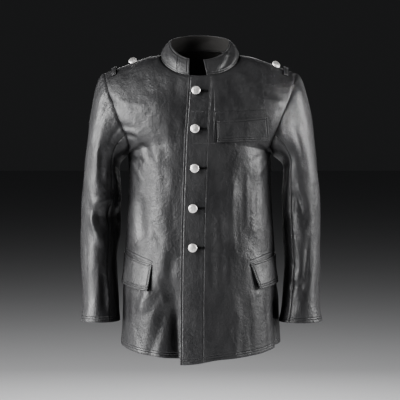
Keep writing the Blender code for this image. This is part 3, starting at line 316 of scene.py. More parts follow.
# Largest folds, the same as in the CAD panels.  On the body, angles run from the middle front, + to
# the wearer's left; on a sleeve they run round the arm: 0 inner, 90 front, 180 outer, 270 back.
# A minus depth is a trough.  Ends of 0 fade the fold out, ends of 1 let it run off the edge.
FOLD_HEAD = ("angle_0", "height_0", "angle_1", "height_1", "width", "depth", "end_0", "end_1")
BODY_FOLDS = (
    FOLD_HEAD,
    (-72, -0.118, -48, -0.146, 0.013, 0.005, 1, 0),
    (-66, -0.205, -50, -0.212, 0.014, 0.0035, 0, 0),
    (-28, -0.27, -29.5, -0.59, 0.012, -0.0075, 0, 0),
    (-37, -0.3, -36, -0.56, 0.016, 0.0045, 0, 0),
    (-33, -0.59, -45, -0.735, 0.015, -0.005, 0, 1),
    (-46, -0.56, -58, -0.64, 0.014, 0.0045, 0, 0),
    (-62, -0.33, -58, -0.47, 0.018, -0.0045, 0, 0),
    (31, -0.27, 34, -0.52, 0.014, 0.0055, 0, 0),
    (43, -0.25, 41, -0.5, 0.014, -0.005, 0, 0),
    (53, -0.3, 54, -0.48, 0.013, 0.005, 0, 0),
    (22, -0.33, 20, -0.62, 0.014, -0.0035, 0, 0),
    (40, -0.56, 38, -0.735, 0.016, -0.004, 0, 1),
    (52, -0.56, 56, -0.735, 0.018, 0.0045, 0, 1),
    (77, -0.58, 78, -0.725, 0.013, -0.008, 0, 1),
    (90, -0.56, 90, -0.725, 0.014, 0.004, 0, 1),
    (68, -0.125, 52, -0.1, 0.013, 0.004, 1, 0),
    (118, -0.2, 146, -0.32, 0.02, 0.006, 0, 0),
    (-118, -0.2, -150, -0.33, 0.02, 0.006, 0, 0),
    (128, -0.33, 160, -0.43, 0.018, -0.006, 0, 0),
    (-126, -0.35, -158, -0.42, 0.018, -0.006, 0, 0),
    (150, -0.45, 146, -0.715, 0.022, -0.006, 0, 1),
    (-152, -0.47, -144, -0.715, 0.022, -0.006, 0, 1),
    (172, -0.46, 176, -0.715, 0.024, 0.005, 0, 1),
    (-170, -0.12, 168, -0.118, 0.02, -0.0035, 0, 0),
)
UNDER_FRONT_SWING = (
    FOLD_HEAD,
    (-27, -0.53, -24, -0.745, 0.032, -0.015, 0, 1),
)
SLEEVE_LEFT_FOLDS = (
    FOLD_HEAD,
    (62, -0.33, 112, -0.44, 0.016, -0.007, 0, 0),
    (112, -0.44, 84, -0.61, 0.016, -0.006, 0, 0),
    (42, -0.3, 40, -0.42, 0.014, 0.0045, 0, 0),
    (140, -0.2, 146, -0.52, 0.02, 0.0035, 0, 0),
    (95, -0.565, 40, -0.572, 0.011, -0.0045, 0, 0),
    (300, -0.35, 240, -0.41, 0.016, -0.006, 0, 0),
    (310, -0.42, 238, -0.455, 0.016, 0.005, 0, 0),
    (200, -0.3, 250, -0.34, 0.018, -0.0045, 0, 0),
)
SLEEVE_RIGHT_FOLDS = (
    FOLD_HEAD,
    (122, -0.374, 34, -0.348, 0.012, 0.006, 0, 0),
    (112, -0.402, 42, -0.395, 0.024, -0.012, 0, 0),
    (124, -0.38, 74, -0.478, 0.012, 0.0055, 0, 0),
    (82, -0.225, 86, -0.33, 0.013, -0.0055, 0, 0),
    (140, -0.22, 146, -0.35, 0.018, 0.0035, 0, 0),
    (70, -0.52, 74, -0.64, 0.014, -0.0045, 0, 0),
    (300, -0.33, 244, -0.39, 0.016, -0.006, 0, 0),
    (308, -0.4, 240, -0.45, 0.016, 0.005, 0, 0),
    (205, -0.3, 250, -0.35, 0.018, -0.0045, 0, 0),
)

# Creases too fine for the CAD panels, in the same way of writing
BODY_CREASES = (
    FOLD_HEAD,
    (-37, -0.08, -36, -0.32, 0.05, 0.005, 0, 0),
    (-72, -0.118, -48, -0.146, 0.013, -0.0032, 1, 0),
    (-68, -0.126, -50, -0.142, 0.006, -0.0012, 1, 0),
    (-66, -0.205, -50, -0.212, 0.014, -0.0032, 0, 0),
    (-72, -0.199, -57, -0.203, 0.006, -0.0026, 1, 0),
    (-76, -0.256, -55, -0.263, 0.0065, -0.0028, 1, 0),
    (-51, -0.208, -38, -0.286, 0.0095, 0.0022, 0, 0),
    (-60, -0.206, -50, -0.27, 0.0085, -0.0018, 0, 0),
    (-40, -0.196, -33, -0.262, 0.008, -0.0012, 0, 0),
    (-74, -0.172, -52, -0.186, 0.006, -0.0014, 1, 0),
    (-70, -0.186, -54, -0.204, 0.0055, 0.001, 1, 0),
    (-63, -0.222, -50, -0.236, 0.006, -0.0011, 0, 0),
    (-76, -0.25, -60, -0.282, 0.0065, -0.0012, 1, 0),
    (-74, -0.268, -56, -0.318, 0.006, 0.001, 1, 0),
    (-42, -0.256, -33, -0.33, 0.007, -0.0011, 0, 0),
    (-28, -0.262, -29.4, -0.56, 0.012, 0.007, 0, 0),
    (-36.6, -0.295, -36.4, -0.52, 0.015, -0.0032, 0, 0),
    (31, -0.262, 34, -0.53, 0.014, -0.0026, 0, 0),
    (42.9, -0.25, 41, -0.51, 0.014, 0.0036, 0, 0),
    (53, -0.29, 54, -0.49, 0.013, -0.0036, 0, 0),
    (-24.5, -0.59, -19.5, -0.765, 0.015, -0.012, 0, 1),
    (40, -0.558, 38, -0.737, 0.016, 0.0028, 0, 1),
    (52, -0.558, 56, -0.737, 0.018, -0.0034, 0, 1),
    (-50, -0.4, -38, -0.47, 0.008, -0.0014, 0, 0),
    (-66, -0.48, -44, -0.43, 0.008, 0.0011, 0, 0),
    (-43, -0.52, -33, -0.62, 0.007, 0.0014, 0, 0),
    (-52, -0.65, -34, -0.56, 0.007, -0.0012, 0, 0),
    (-62, -0.64, -50, -0.735, 0.008, -0.0011, 0, 1),
    (-28, -0.64, -31, -0.735, 0.006, 0.0011, 0, 1),
    (-76, -0.56, -70, -0.7, 0.008, 0.0011, 0, 0),
    (27, -0.29, 30, -0.35, 0.006, -0.001, 0, 0),
    (36, -0.3, 31, -0.37, 0.0055, 0.0012, 0, 0),
    (36.5, -0.33, 38, -0.5, 0.005, -0.001, 0, 0),
    (47.5, -0.27, 47, -0.44, 0.005, 0.0011, 0, 0),
    (60, -0.29, 58, -0.42, 0.006, -0.0012, 0, 0),
    (66, -0.246, 50, -0.268, 0.006, -0.0011, 0, 0),
    (74, -0.262, 58, -0.3, 0.006, 0.001, 1, 0),
    (26, -0.42, 30, -0.56, 0.006, 0.0009, 0, 0),
    (58, -0.43, 44, -0.5, 0.007, -0.0011, 0, 0),
    (36, -0.61, 33, -0.735, 0.007, 0.0011, 0, 1),
    (45, -0.59, 46, -0.735, 0.0065, -0.001, 0, 1),
    (63, -0.6, 64, -0.735, 0.0065, -0.0011, 0, 1),
    (58, -0.575, 46, -0.6, 0.007, 0.0012, 0, 0),
    (24, -0.64, 22, -0.74, 0.007, -0.0007, 0, 1),
    (-60, -0.09, -44, -0.105, 0.007, -0.0009, 0, 0),
    (58, -0.088, 44, -0.104, 0.007, -0.0009, 0, 0),
    (-36, -0.07, -26, -0.12, 0.0065, -0.0007, 0, 0),
    (108, -0.15, 124, -0.23, 0.008, -0.0026, 0, 0),
    (-108, -0.15, -126, -0.232, 0.008, -0.0026, 0, 0),
    (112, -0.25, 136, -0.3, 0.008, -0.0024, 0, 0),
    (-112, -0.246, -138, -0.305, 0.008, -0.0024, 0, 0),
    (104, -0.3, 130, -0.39, 0.008, 0.002, 0, 0),
    (-104, -0.31, -130, -0.38, 0.008, 0.002, 0, 0),
    (140, -0.4, 172, -0.42, 0.008, 0.0024, 0, 0),
    (-142, -0.44, -170, -0.432, 0.008, 0.0022, 0, 0),
    (158, -0.35, -168, -0.372, 0.009, -0.0022, 0, 0),
    (120, -0.46, 140, -0.56, 0.008, 0.002, 0, 0),
    (-122, -0.45, -138, -0.54, 0.008, 0.0022, 0, 0),
    (162, -0.56, 160, -0.715, 0.009, -0.0022, 0, 1),
    (-164, -0.58, -166, -0.715, 0.009, -0.002, 0, 1),
    (112, -0.6, 116, -0.715, 0.008, 0.0022, 0, 1),
    (-110, -0.59, -114, -0.715, 0.008, 0.0022, 0, 1),
    (150, -0.04, 134, -0.08, 0.009, -0.0011, 0, 0),
    (-150, -0.04, -132, -0.084, 0.009, -0.0011, 0, 0),
)
SLEEVE_LEFT_CREASES = (
    FOLD_HEAD,
    (52, -0.12, 50, -0.36, 0.018, 0.005, 0, 0),
    (86, -0.38, 114, -0.436, 0.015, 0.0034, 0, 0),
    (86, -0.11, 88, -0.34, 0.018, -0.003, 0, 0),
    (70, -0.3, 96, -0.4, 0.006, 0.0014, 0, 0),
    (52, -0.33, 70, -0.4, 0.0055, -0.0012, 0, 0),
    (118, -0.42, 104, -0.56, 0.006, 0.0016, 0, 0),
    (60, -0.42, 76, -0.52, 0.006, 0.0011, 0, 0),
    (44, -0.44, 84, -0.452, 0.0055, -0.0011, 0, 0),
    (36, -0.5, 72, -0.54, 0.006, -0.001, 0, 0),
    (48, -0.59, 88, -0.6, 0.0055, 0.0009, 0, 0),
    (128, -0.3, 134, -0.43, 0.0065, -0.0009, 0, 0),
    (150, -0.5, 136, -0.6, 0.0065, -0.0009, 0, 0),
    (84, -0.17, 92, -0.26, 0.007, -0.0011, 0, 0),
    (110, -0.15, 112, -0.25, 0.007, -0.0009, 0, 0),
    (300, -0.385, 246, -0.43, 0.006, -0.0015, 0, 0),
    (290, -0.45, 250, -0.49, 0.006, -0.0012, 0, 0),
    (320, -0.33, 280, -0.35, 0.006, 0.0012, 0, 0),
    (230, -0.37, 200, -0.41, 0.0065, 0.0011, 0, 0),
    (250, -0.54, 226, -0.59, 0.0065, -0.001, 0, 0),
    (262, -0.2, 232, -0.3, 0.007, 0.0011, 0, 0),
)
SLEEVE_RIGHT_CREASES = (
    FOLD_HEAD,
    (122, -0.373, 40, -0.345, 0.009, 0.0006, 0, 0),
    (116, -0.402, 50, -0.398, 0.024, 0.0066, 0, 0),
    (66, -0.402, -14, -0.4, 0.024, -0.011, 0, 0),
    (78, -0.452, 0, -0.44, 0.024, -0.006, 0, 0),
    (58, -0.205, 38, -0.35, 0.016, 0.006, 0, 0),
    (108, -0.392, 60, -0.42, 0.016, -0.0009, 0, 0),
    (82, -0.23, 86, -0.328, 0.013, 0.0016, 0, 0),
    (60, -0.24, 74, -0.32, 0.006, 0.0014, 0, 0),
    (96, -0.21, 100, -0.31, 0.006, 0.0011, 0, 0),
    (44, -0.47, 60, -0.56, 0.006, -0.0011, 0, 0),
    (84, -0.5, 92, -0.6, 0.006, 0.001, 0, 0),
    (56, -0.56, 60, -0.65, 0.0055, 0.001, 0, 1),
    (124, -0.45, 132, -0.56, 0.007, -0.0009, 0, 0),
    (150, -0.36, 138, -0.43, 0.007, -0.0009, 0, 0),
    (112, -0.15, 116, -0.24, 0.007, -0.0009, 0, 0),
    (300, -0.365, 248, -0.415, 0.006, -0.0015, 0, 0),
    (292, -0.43, 250, -0.478, 0.006, -0.0012, 0, 0),
    (318, -0.32, 282, -0.34, 0.006, 0.0012, 0, 0),
    (228, -0.38, 204, -0.42, 0.0065, 0.0011, 0, 0),
    (256, -0.52, 228, -0.57, 0.0065, -0.001, 0, 0),
    (264, -0.21, 236, -0.3, 0.007, 0.0011, 0, 0),
)
# Creases of the collar: share of the way round from the right end, share of the height, at both ends
COLLAR_CREASES = (
    ("round_0", "up_0", "round_1", "up_1", "width", "depth"),
    (0.93, 0.1, 0.82, 0.75, 0.006, -0.0022),
    (0.88, 0.05, 0.76, 0.6, 0.006, 0.0018),
    (0.72, 0.2, 0.64, 0.8, 0.007, -0.0016),
    (0.08, 0.15, 0.2, 0.7, 0.007, -0.0012),
    (0.8, 0.15, 0.86, 0.9, 0.005, 0.0014),
    (0.3, 0.2, 0.38, 0.8, 0.008, -0.0014),
    (0.46, 0.3, 0.54, 0.6, 0.009, 0.0012),
)

# Flaps: corners on the front, by the distance from the middle and the height, and how far the lower
# edge stands off.  straight 1 is straight as seen from the front, 0 follows the panel's rows.
FLAPS = (
    ("name", "panel", "inner_top", "inner_top_z", "inner_low", "inner_low_z",
     "outer_top", "outer_top_z", "outer_low", "outer_low_z", "stand_off", "straight"),
    ("flap_chest", "front_left", 0.0400, -0.1665, 0.0405, -0.2170,
     0.1625, -0.1565, 0.1660, -0.2115, 0.0018, 1),
    ("flap_hip_left", "front_left", 0.1215, -0.5100, 0.1400, -0.5720,
     0.1880, -0.4900, 0.1895, -0.5580, 0.0075, 0),
    ("flap_hip_right", "front_right", 0.1150, -0.5120, 0.1235, -0.5760,
     0.1880, -0.4860, 0.1895, -0.5600, 0.0075, 0),
)
FLAP_COLUMNS = 36
FLAP_ROWS = 22
FLAP_CURL = 1.3
FLAP_SETTLE = 2.0
FLAP_SWELL = 0.0012
FLAP_WAVE = 0.0006
FLAP_WAVE_RATES = (9, 4)
FLAP_STRAIGHT_CALM = 0.6
LOOP_FLATNESS = 4
FRONT_BUTTONS = (
    ("x", "z"),
    (-0.0096, -0.0935),
    (-0.0120, -0.1845),
    (-0.0125, -0.2785),
    (-0.0168, -0.3745),
    (-0.0172, -0.4690),
)
SHOULDER_BUTTONS = (
    ("name", "front", "x", "forward", "lift", "face_x", "face_y", "face_z"),
    ("shoulder_button_left", "front_left", 0.1850, 0.010, 0.0009, 0.42, -0.66, 0.62),
    ("shoulder_button_right", "front_right", -0.1640, 0.010, 0.0012, -0.12, -0.66, 0.74),
)

# Names of the panels, and the borders by which each is sewn
SIDES = ((1, "left"), (-1, "right"))
BODY_PANELS = ("front_left", "front_right", "back")
SLEEVE_PANELS = ("sleeve_top_left", "sleeve_under_left", "sleeve_top_right", "sleeve_under_right")
SEWN = {
    "front_left": ("last",),
    "front_right": ("first",),
    "back": ("first", "last", "high"),
    "collar": ("low",),
}
SEWN_SLEEVE = ("first", "last", "low")
# Each border of a grid and the line of points beside it
BORDERS = {
    "first": (np.s_[:, 0], np.s_[:, 1]),
    "last": (np.s_[:, -1], np.s_[:, -2]),
    "low": (np.s_[0], np.s_[1]),
    "high": (np.s_[-1], np.s_[-2]),
}
# How each sleeve is drawn: its tables, the height of its cuff and the seed of its unevenness
SLEEVES = {
    "left": (SLEEVE_LEFT, CUFF_HEIGHT_LEFT, SLEEVE_LEFT_FOLDS, SLEEVE_LEFT_CREASES, 11),
    "right": (SLEEVE_RIGHT, CUFF_HEIGHT_RIGHT, SLEEVE_RIGHT_FOLDS, SLEEVE_RIGHT_CREASES, 23),
}

# Rows of stitches along the borders: side, distance and, where a row is shorter, the shares of the
# border where it starts and ends
STITCH_ROWS = {
    "front_left": (("first", 0.005), ("first", 0.056, 0.012, 0.82), ("low", 0.0075),
                   ("low", 0.0127), ("high", 0.005, 0.0, 0.2)),
    "front_right": (("last", 0.005), ("low", 0.0075), ("low", 0.0127), ("high", 0.005, 0.8, 1.0)),
    "back": (("low", 0.0075), ("low", 0.0127)),
    "collar": (("first", 0.005), ("last", 0.005), ("high", 0.005), ("low", 0.0045),
               ("last", 0.033)),
    "sleeve": (("high", 0.0075), ("high", 0.0127)),
    "flap": (("first", 0.005, 0.05, 0.95), ("last", 0.005, 0.05, 0.95),
             ("high", 0.005, 0.05, 0.95), ("low", 0.005, 0.05, 0.95),
             ("low", 0.0102, 0.05, 0.95)),
    "shoulder_loop": (("first", 0.0022), ("last", 0.0022)),
}
POCKET_SEAM_RISE = 0.0075
CHEST_LINES = (
    ((0.0345, -0.2190), (0.0350, -0.1440)),
    ((0.0350, -0.1440), (0.1560, -0.1390)),
)
STITCH_FIELDS = 8
BUTTONHOLE_STITCHES = 60
BUTTONHOLE_LENGTH = 0.0270
BUTTONHOLE_WIDTH = 0.0060
# BUTTONHOLE_SLIT, BUTTONHOLE_EYE, SLIT_HEIGHT and SLOT_END size the near-black slot of painted shade
# in each buttonhole
BUTTONHOLE_SLIT = 0.0032
BUTTONHOLE_EYE = 0.0046
SLIT_HEIGHT = 0.0007
BUTTONHOLE_OFFSET = 0.0150
BUTTONHOLE_STITCH = (0.0013, 0.00034, 0.00042)
BUTTONHOLE_RISE = 0.0002
BUTTONHOLE_LEAN = 0.12
EYE_WIDENING = 0.9
EYE_START = 0.18
EYE_RAMP = 0.006
EYE_SHARE = 0.6
EYE_SEGMENTS = 20
EYE_RAISE = 1.1
SLOT_END = 0.0012
SLOT_PROBE = 0.004
STITCH_WAY_SHARE = 0.3
STITCH_SINK_SHARE = 0.28
POCKET_LINE_STEP = 0.006
EDGE_ANGLE = math.radians(60)


def stitch_rows(name):
    """The rows of stitches of a piece."""
    for kind, rows in STITCH_ROWS.items():
        if name.startswith(kind):
            return rows
    return ()


def side_of(name):
    """1 for a piece on the wearer's left, -1 for one on the right."""
    return -1.0 if name.endswith("right") else 1.0


def pocket_lines(name):
    """Start and end of the straight lines of stitching beside and above the flaps of a front."""
    lines = list(CHEST_LINES) if name == "front_left" else []
    for _flap, panel, *numbers in FLAPS[2:]:
        if panel != name:
            continue
        inner_top, inner_top_z, _low, _low_z, outer_top, outer_top_z, *_rest = numbers
        lines.append([(side_of(name) * x, z + POCKET_SEAM_RISE)
                      for x, z in ((inner_top, inner_top_z), (outer_top, outer_top_z))])
    return lines


# Properties that a user would change

class ClothSizes(bpy.types.PropertyGroup):
    """How finely the panels are drawn and how their edges are turned."""
    side_steps: IntProperty(
        name="Side steps", description="Fine rows for each CAD row from hem to underarm",
        default=9, min=2, max=14)
    armhole_steps: IntProperty(
        name="Armhole steps", description="Fine rows for each CAD row from underarm to shoulder",
        default=7, min=2, max=12)
    lap_steps: IntProperty(
        name="Lap steps", description="Fine columns for each CAD column of the lap",
        default=9, min=2, max=14)
    front_steps: IntProperty(
        name="Front steps", description="Fine columns for each CAD column of a front",
        default=5, min=1, max=10)
    back_steps: IntProperty(
        name="Back steps", description="Fine columns for each CAD column of the back",
        default=8, min=1, max=12)
    edge_radius: FloatProperty(
        name="Edge radius", description="Rounding of a turned edge",
        default=0.0007, unit="LENGTH", subtype="DISTANCE")
    seam_sink: FloatProperty(
        name="Seam sink", description="How far the leather dips at a sewn seam",
        default=0.0011, unit="LENGTH", subtype="DISTANCE")
    pucker: FloatProperty(
        name="Pucker", description="Height of the small gathers along the sleeve heads",
        default=0.0017, unit="LENGTH", subtype="DISTANCE")
    waviness: FloatProperty(
        name="Waviness", description="Height of the soft unevenness of worn leather",
        default=0.0010, unit="LENGTH", subtype="DISTANCE")


class LeatherLook(bpy.types.PropertyGroup):
    """Colour and finish of the leather."""
    colour: FloatVectorProperty(
        name="Colour", description="Colour of the leather", subtype="COLOR",
        default=(0.0095, 0.0095, 0.0103), min=0.0, max=1.0)
    worn_colour: FloatVectorProperty(
        name="Worn colour", description="Colour where the leather is rubbed", subtype="COLOR",
        default=(0.024, 0.023, 0.024), min=0.0, max=1.0)
    inside_colour: FloatVectorProperty(
        name="Inside colour", description="Colour of the leather's inner face", subtype="COLOR",
        default=(0.030, 0.029, 0.028), min=0.0, max=1.0)
    roughness: FloatProperty(
        name="Roughness", description="Gloss of the leather", default=0.46, min=0.0, max=1.0)
    grain_size: FloatProperty(
        name="Grain size", description="Width of one cell of the grain",
        default=0.0016, unit="LENGTH", subtype="DISTANCE")
    grain_depth: FloatProperty(
        name="Grain depth", description="Height of the grain",
        default=0.00010, precision=5, unit="LENGTH", subtype="DISTANCE")
    crease_depth: FloatProperty(
        name="Crease depth", description="Height of the finest creases",
        default=0.0015, precision=5, unit="LENGTH", subtype="DISTANCE")
    dimple_depth: FloatProperty(
        name="Dimple depth", description="Height of the small soft dimples",
        default=0.0006, precision=5, unit="LENGTH", subtype="DISTANCE")


class StitchSizes(bpy.types.PropertyGroup):
    """Sewing thread and the lines it follows."""
    pitch: FloatProperty(
        name="Pitch", description="Distance from one stitch to the next",
        default=0.0034, unit="LENGTH", subtype="DISTANCE")
    length: FloatProperty(
        name="Length", description="Length of one stitch",
        default=0.0027, unit="LENGTH", subtype="DISTANCE")
    thickness: FloatProperty(
        name="Thickness", description="Thickness of the thread",
        default=0.00055, precision=5, unit="LENGTH", subtype="DISTANCE")
    colour: FloatVectorProperty(
        name="Colour", description="Colour of the thread", subtype="COLOR",
        default=(0.010, 0.010, 0.011), min=0.0, max=1.0)


class ButtonLook(bpy.types.PropertyGroup):
    """Finish of the metal buttons."""
    colour: FloatVectorProperty(
        name="Colour", description="Colour of the metal", subtype="COLOR",
        default=(0.90, 0.88, 0.86), min=0.0, max=1.0)
    roughness: FloatProperty(
        name="Roughness", description="Gloss of the metal", default=0.42, min=0.0, max=1.0)
    steps: IntProperty(
        name="Steps", description="Steps of the turned form", default=64, min=16, max=128)


class StudioLook(bpy.types.PropertyGroup):
    """Floor, light and camera."""
    floor_height: FloatProperty(
        name="Floor height", description="Height of the floor", default=-1.47,
        unit="LENGTH", subtype="DISTANCE")
    floor_colour: FloatVectorProperty(
        name="Floor colour", description="Colour of the floor", subtype="COLOR",
        default=(0.72, 0.72, 0.73), min=0.0, max=1.0)
    surround: FloatVectorProperty(
        name="Surround", description="Colour of the even light all round", subtype="COLOR",
        default=(0.62, 0.63, 0.65), min=0.0, max=1.0)
    surround_strength: FloatProperty(
        name="Surround strength", description="Strength of the even light", default=0.03, min=0.0)
    camera_distance: FloatProperty(
        name="Camera distance", description="From the camera to the middle of the jacket",
        default=3.2, unit="LENGTH", subtype="DISTANCE")
    camera_rise: FloatProperty(
        name="Camera rise", description="Angle by which the camera looks down",
        default=math.radians(3.0), unit="ROTATION", subtype="ANGLE")
    view_height: FloatProperty(
        name="View height", description="Height that the camera looks at", default=-0.361,
        unit="LENGTH", subtype="DISTANCE")
    frame_width: FloatProperty(
        name="Frame width", description="Width of the picture at the jacket's middle",
        default=0.996, unit="LENGTH", subtype="DISTANCE")


# Curves and tables

def column(table, name):
    """One named column of a table as an array."""
    place = table[0].index(name)
    return np.array([row[place] for row in table[1:]])


def smooth(knots, values, at):
    """Smooth curve through values at knots, read at one or more places."""
    knots = np.asarray(knots, float)
    values = np.asarray(values, float)
    at = np.asarray(at, float)
    slopes = np.gradient(values, knots, axis=0)
    index = np.clip(np.searchsorted(knots, at, side="right") - 1, 0, len(knots) - 2)
    span = knots[index + 1] - knots[index]
    s = np.clip((at - knots[index]) / span, 0.0, 1.0)
    if values.ndim > 1:
        span = span[..., None]
        s = s[..., None]
    start = (1 + 2 * s) * (1 - s) ** 2 * values[index] + s * (1 - s) ** 2 * span * slopes[index]
    end = s ** 2 * (3 - 2 * s) * values[index + 1] + s ** 2 * (s - 1) * span * slopes[index + 1]
    return start + end


def read(table, name, level):
    """A named column of a table, read smoothly at a level."""
    return smooth(column(table, "level"), column(table, name), level)


def lengths_along(points, axis=0):
    """Length up to each point of a line, or of the columns (0) or rows (1) of a grid."""
    steps = np.linalg.norm(np.diff(points, axis=axis), axis=-1)
    return np.cumsum(np.insert(steps, 0, 0.0, axis=axis), axis=axis)


def read_line(points, lengths, wanted):
    """Points of a line at wanted lengths along it."""
    return np.stack([np.interp(wanted, lengths, points[:, axis]) for axis in range(3)], axis=-1)


def even_along(table, fractions):
    """Points of a smooth 3-D curve through a table's rows, even along its length."""
    points = np.stack([column(table, axis) for axis in ("x", "y", "z")], axis=1)
    knots = lengths_along(points)
    path = smooth(knots, points, np.linspace(0.0, knots[-1], CURVE_SAMPLES))
    lengths = lengths_along(path)
    return read_line(path, lengths, np.asarray(fractions) * lengths[-1])


def bezier(start, leave, arrive, end, s):
    """Points of a curve from one end to the other by way of two handles."""
    return (start * (1 - s) ** 3 + leave * 3 * s * (1 - s) ** 2 + arrive * 3 * s ** 2 * (1 - s)
            + end * s ** 3)


def ease(value):
    """0 to 1 with level ends."""
    value = np.clip(value, 0.0, 1.0)
    return value * value * (3 - 2 * value)


def unit(vectors):
    """Vectors of length one."""
    return vectors / np.maximum(np.linalg.norm(vectors, axis=-1, keepdims=True), 1e-12)


def corner_weights(u, v):
    """Weights of the four corners round a place between them."""
    return np.array([(1 - v) * (1 - u), (1 - v) * u, v * (1 - u), v * u])


def steps_between(start, end, steps):
    """Even fine steps over whole columns or rows, last one left out."""
    return start + np.arange((end - start) * steps) / steps


def cad_row(levels):
    """Row of the CAD panel at a level."""
    return np.where(levels <= 1, levels * SIDE_ROWS, SIDE_ROWS + (levels - 1) * ARMHOLE_ROWS)


# Smooth form of the body

def side_point(level, face):
    """Point of the side seam or, above the underarm, of the armhole; face is -1 front, 1 back."""
    if level <= 1.0:
        return np.array([read(SIDE_SEAM, name, level)
                         for name in ("half_width", "set_back", "height")])
    armhole = ARMHOLE_FRONT if face < 0 else ARMHOLE_BACK
    return even_along(armhole, [level - 1.0])[0]


def body_row(level, t, face):
    """Points of one level of the body, t from 0 at the middle to 1 at the side; minus is past it."""
    table, side_name = (CENTRE_FRONT, "front") if face < 0 else (CENTRE_BACK, "back")
    depth, height = read(table, "depth", level), read(table, "height", level)
    reach, turn_reach, turn = (read(ROW_SHAPE, side_name + name, level)
                               for name in ("_reach", "_turn_reach", "_turn"))
    turn = math.radians(float(turn))
    middle = np.array([0.0, face * depth, height])
    side = side_point(level, face)
    rise = side[2] - height
    straight = middle + np.array([reach, 0.0, EARLY_CLIMB * rise])
    heading = np.array([math.cos(turn), -face * math.sin(turn), 0.0])
    turned = side - turn_reach * heading - np.array([0.0, 0.0, LATE_CLIMB * rise])
    s = np.abs(np.asarray(t, float))[:, None]
    points = bezier(middle, straight, turned, side, s)
    points[:, 0] *= np.where(np.asarray(t) < 0, -1.0, 1.0)
    return points


def t_at_distance(level, distance, face):
    """The t whose point lies at a sideways distance from the middle, with its sign kept."""
    t = np.linspace(0.0, 1.0, ROW_SAMPLES)
    across = body_row(level, t, face)[:, 0]
    return math.copysign(float(np.interp(abs(distance), across, t)), distance)


def ring_point(ring, angle, face):
    """Point of the neckline or the collar's top; 0 is the middle and 90 degrees the side."""
    half_width, front_depth, back_depth, side_height, front_drop, back_rise = ring
    depth = front_depth if face < 0 else back_depth
    climb = -front_drop if face < 0 else back_rise
    cosine = np.cos(angle)
    return np.stack([half_width * np.sin(angle), face * depth * cosine,
                     side_height + climb * cosine], axis=-1)


def top_headings(top, face):
    """The way each column heads as it reaches the top edge of a panel."""
    across = np.abs(top[:, 0])
    outward = np.clip(across / NECK_HALF_WIDTH, 0.0, 1.0)[:, None] ** NECK_HEADING_HOLD
    along_seam = ease((across - NECK_HALF_WIDTH) / (across[-1] - NECK_HALF_WIDTH))
    up = (SHOULDER_UP if face < 0 else SHOULDER_UP_BACK) + TRAPEZE_UP * (1 - along_seam)
    at_middle = np.array([0.0, -face * NECK_FORWARD, NECK_UP])
    at_shoulder = np.stack([0.0 * up, -face * np.ones_like(up), up], axis=-1)
    return unit(at_middle * (1 - outward) + at_shoulder * outward)


def half_panel(levels, columns, t_of_level, top, face):
    """Grid of points of a front or half back, rows from the hem, columns from the middle."""
    grid = np.zeros((len(levels), len(columns), 3))
    start = body_row(YOKE_LEVEL, t_of_level(YOKE_LEVEL), face)
    below = YOKE_LEVEL - YOKE_STEP
    before = body_row(below, t_of_level(below), face)
    chord = np.linalg.norm(top - start, axis=1, keepdims=True)
    start_way = unit(start - before) * chord * YOKE_PULL
    end_way = top_headings(top, face) * chord * YOKE_PULL
    share = (columns / columns[-1])[:, None] ** ARMHOLE_HOLD
    for row, level in enumerate(levels):
        if level <= YOKE_LEVEL:
            grid[row] = body_row(level, t_of_level(level), face)
            continue
        s = (level - YOKE_LEVEL) / (TOP_LEVEL - YOKE_LEVEL)
        grid[row] = ((1 + 2 * s) * (1 - s) ** 2 * start + s * (1 - s) ** 2 * start_way
                     + s ** 2 * (3 - 2 * s) * top + s ** 2 * (s - 1) * end_way)
        grid[row] += share * (side_point(level, face) - grid[row][-1])
    return grid


def front_base(levels, columns, edge_table, collar_end):
    """Smooth form of one front, on the +X side, from its edge past the middle to the side."""
    past = columns[columns < LAP_COLUMNS] / LAP_COLUMNS
    rest = (columns[columns >= LAP_COLUMNS] - LAP_COLUMNS) / (NECK_COLUMNS + SHOULDER_COLUMNS)

    def t_of_level(level):
        edge = t_at_distance(level, -float(read(edge_table, "past_middle", level)), -1)
        line = t_at_distance(level, collar_end, -1)
        return np.concatenate([edge + (line - edge) * past, line + (1 - line) * rest])

    edge_angle = -math.asin(float(read(edge_table, "past_middle", TOP_LEVEL)) / NECK_HALF_WIDTH)
    end_angle = math.asin(collar_end / NECK_HALF_WIDTH)
    collar_line = LAP_COLUMNS + NECK_COLUMNS
    neck = columns[(columns >= LAP_COLUMNS) & (columns <= collar_line)] - LAP_COLUMNS
    angles = np.concatenate([edge_angle + (end_angle - edge_angle) * past,
                             end_angle + (math.pi / 2 - end_angle) * neck / NECK_COLUMNS])
    shoulder = (columns[columns > collar_line] - collar_line) / SHOULDER_COLUMNS
    top = np.concatenate([ring_point(NECK_RING, angles, -1), even_along(SHOULDER_SEAM, shoulder)])
    return half_panel(levels, columns, t_of_level, top, -1)


def back_base(levels, columns):
    """Smooth form of the whole back; columns of one half, from the middle to the side."""
    def t_of_level(_level):
        return columns / columns[-1]

    angles = math.pi / 2 * columns[columns <= BACK_NECK_COLUMNS] / BACK_NECK_COLUMNS
    shoulder = (columns[columns > BACK_NECK_COLUMNS] - BACK_NECK_COLUMNS) / SHOULDER_COLUMNS
    top = np.concatenate([ring_point(NECK_RING, angles, 1), even_along(SHOULDER_SEAM, shoulder)])
    half = half_panel(levels, columns, t_of_level, top, 1)
    other = half[:, :0:-1] * MIRROR
    return np.concatenate([other, half], axis=1)


def mirrored(grid):
    """A grid moved to the other side of the body, columns turned round to keep its face out."""
    return grid[:, ::-1] * MIRROR


# Smooth form of the sleeves

def tube_points(table, heights, angles):
    """Points of the sleeve tube on the +X side at given heights and angles round the arm."""
    below = -column(table, "height")
    inner, outer, set_back, half_depth = (
        smooth(below, column(table, name), -heights)
        for name in ("inner", "outer", "set_back", "half_depth"))
    centre = (inner + outer) / 2
    half_width = (outer - inner) / 2
    return np.stack([centre - half_width * np.cos(angles), set_back - half_depth * np.sin(angles),
                     heights + 0.0 * angles], axis=-1)


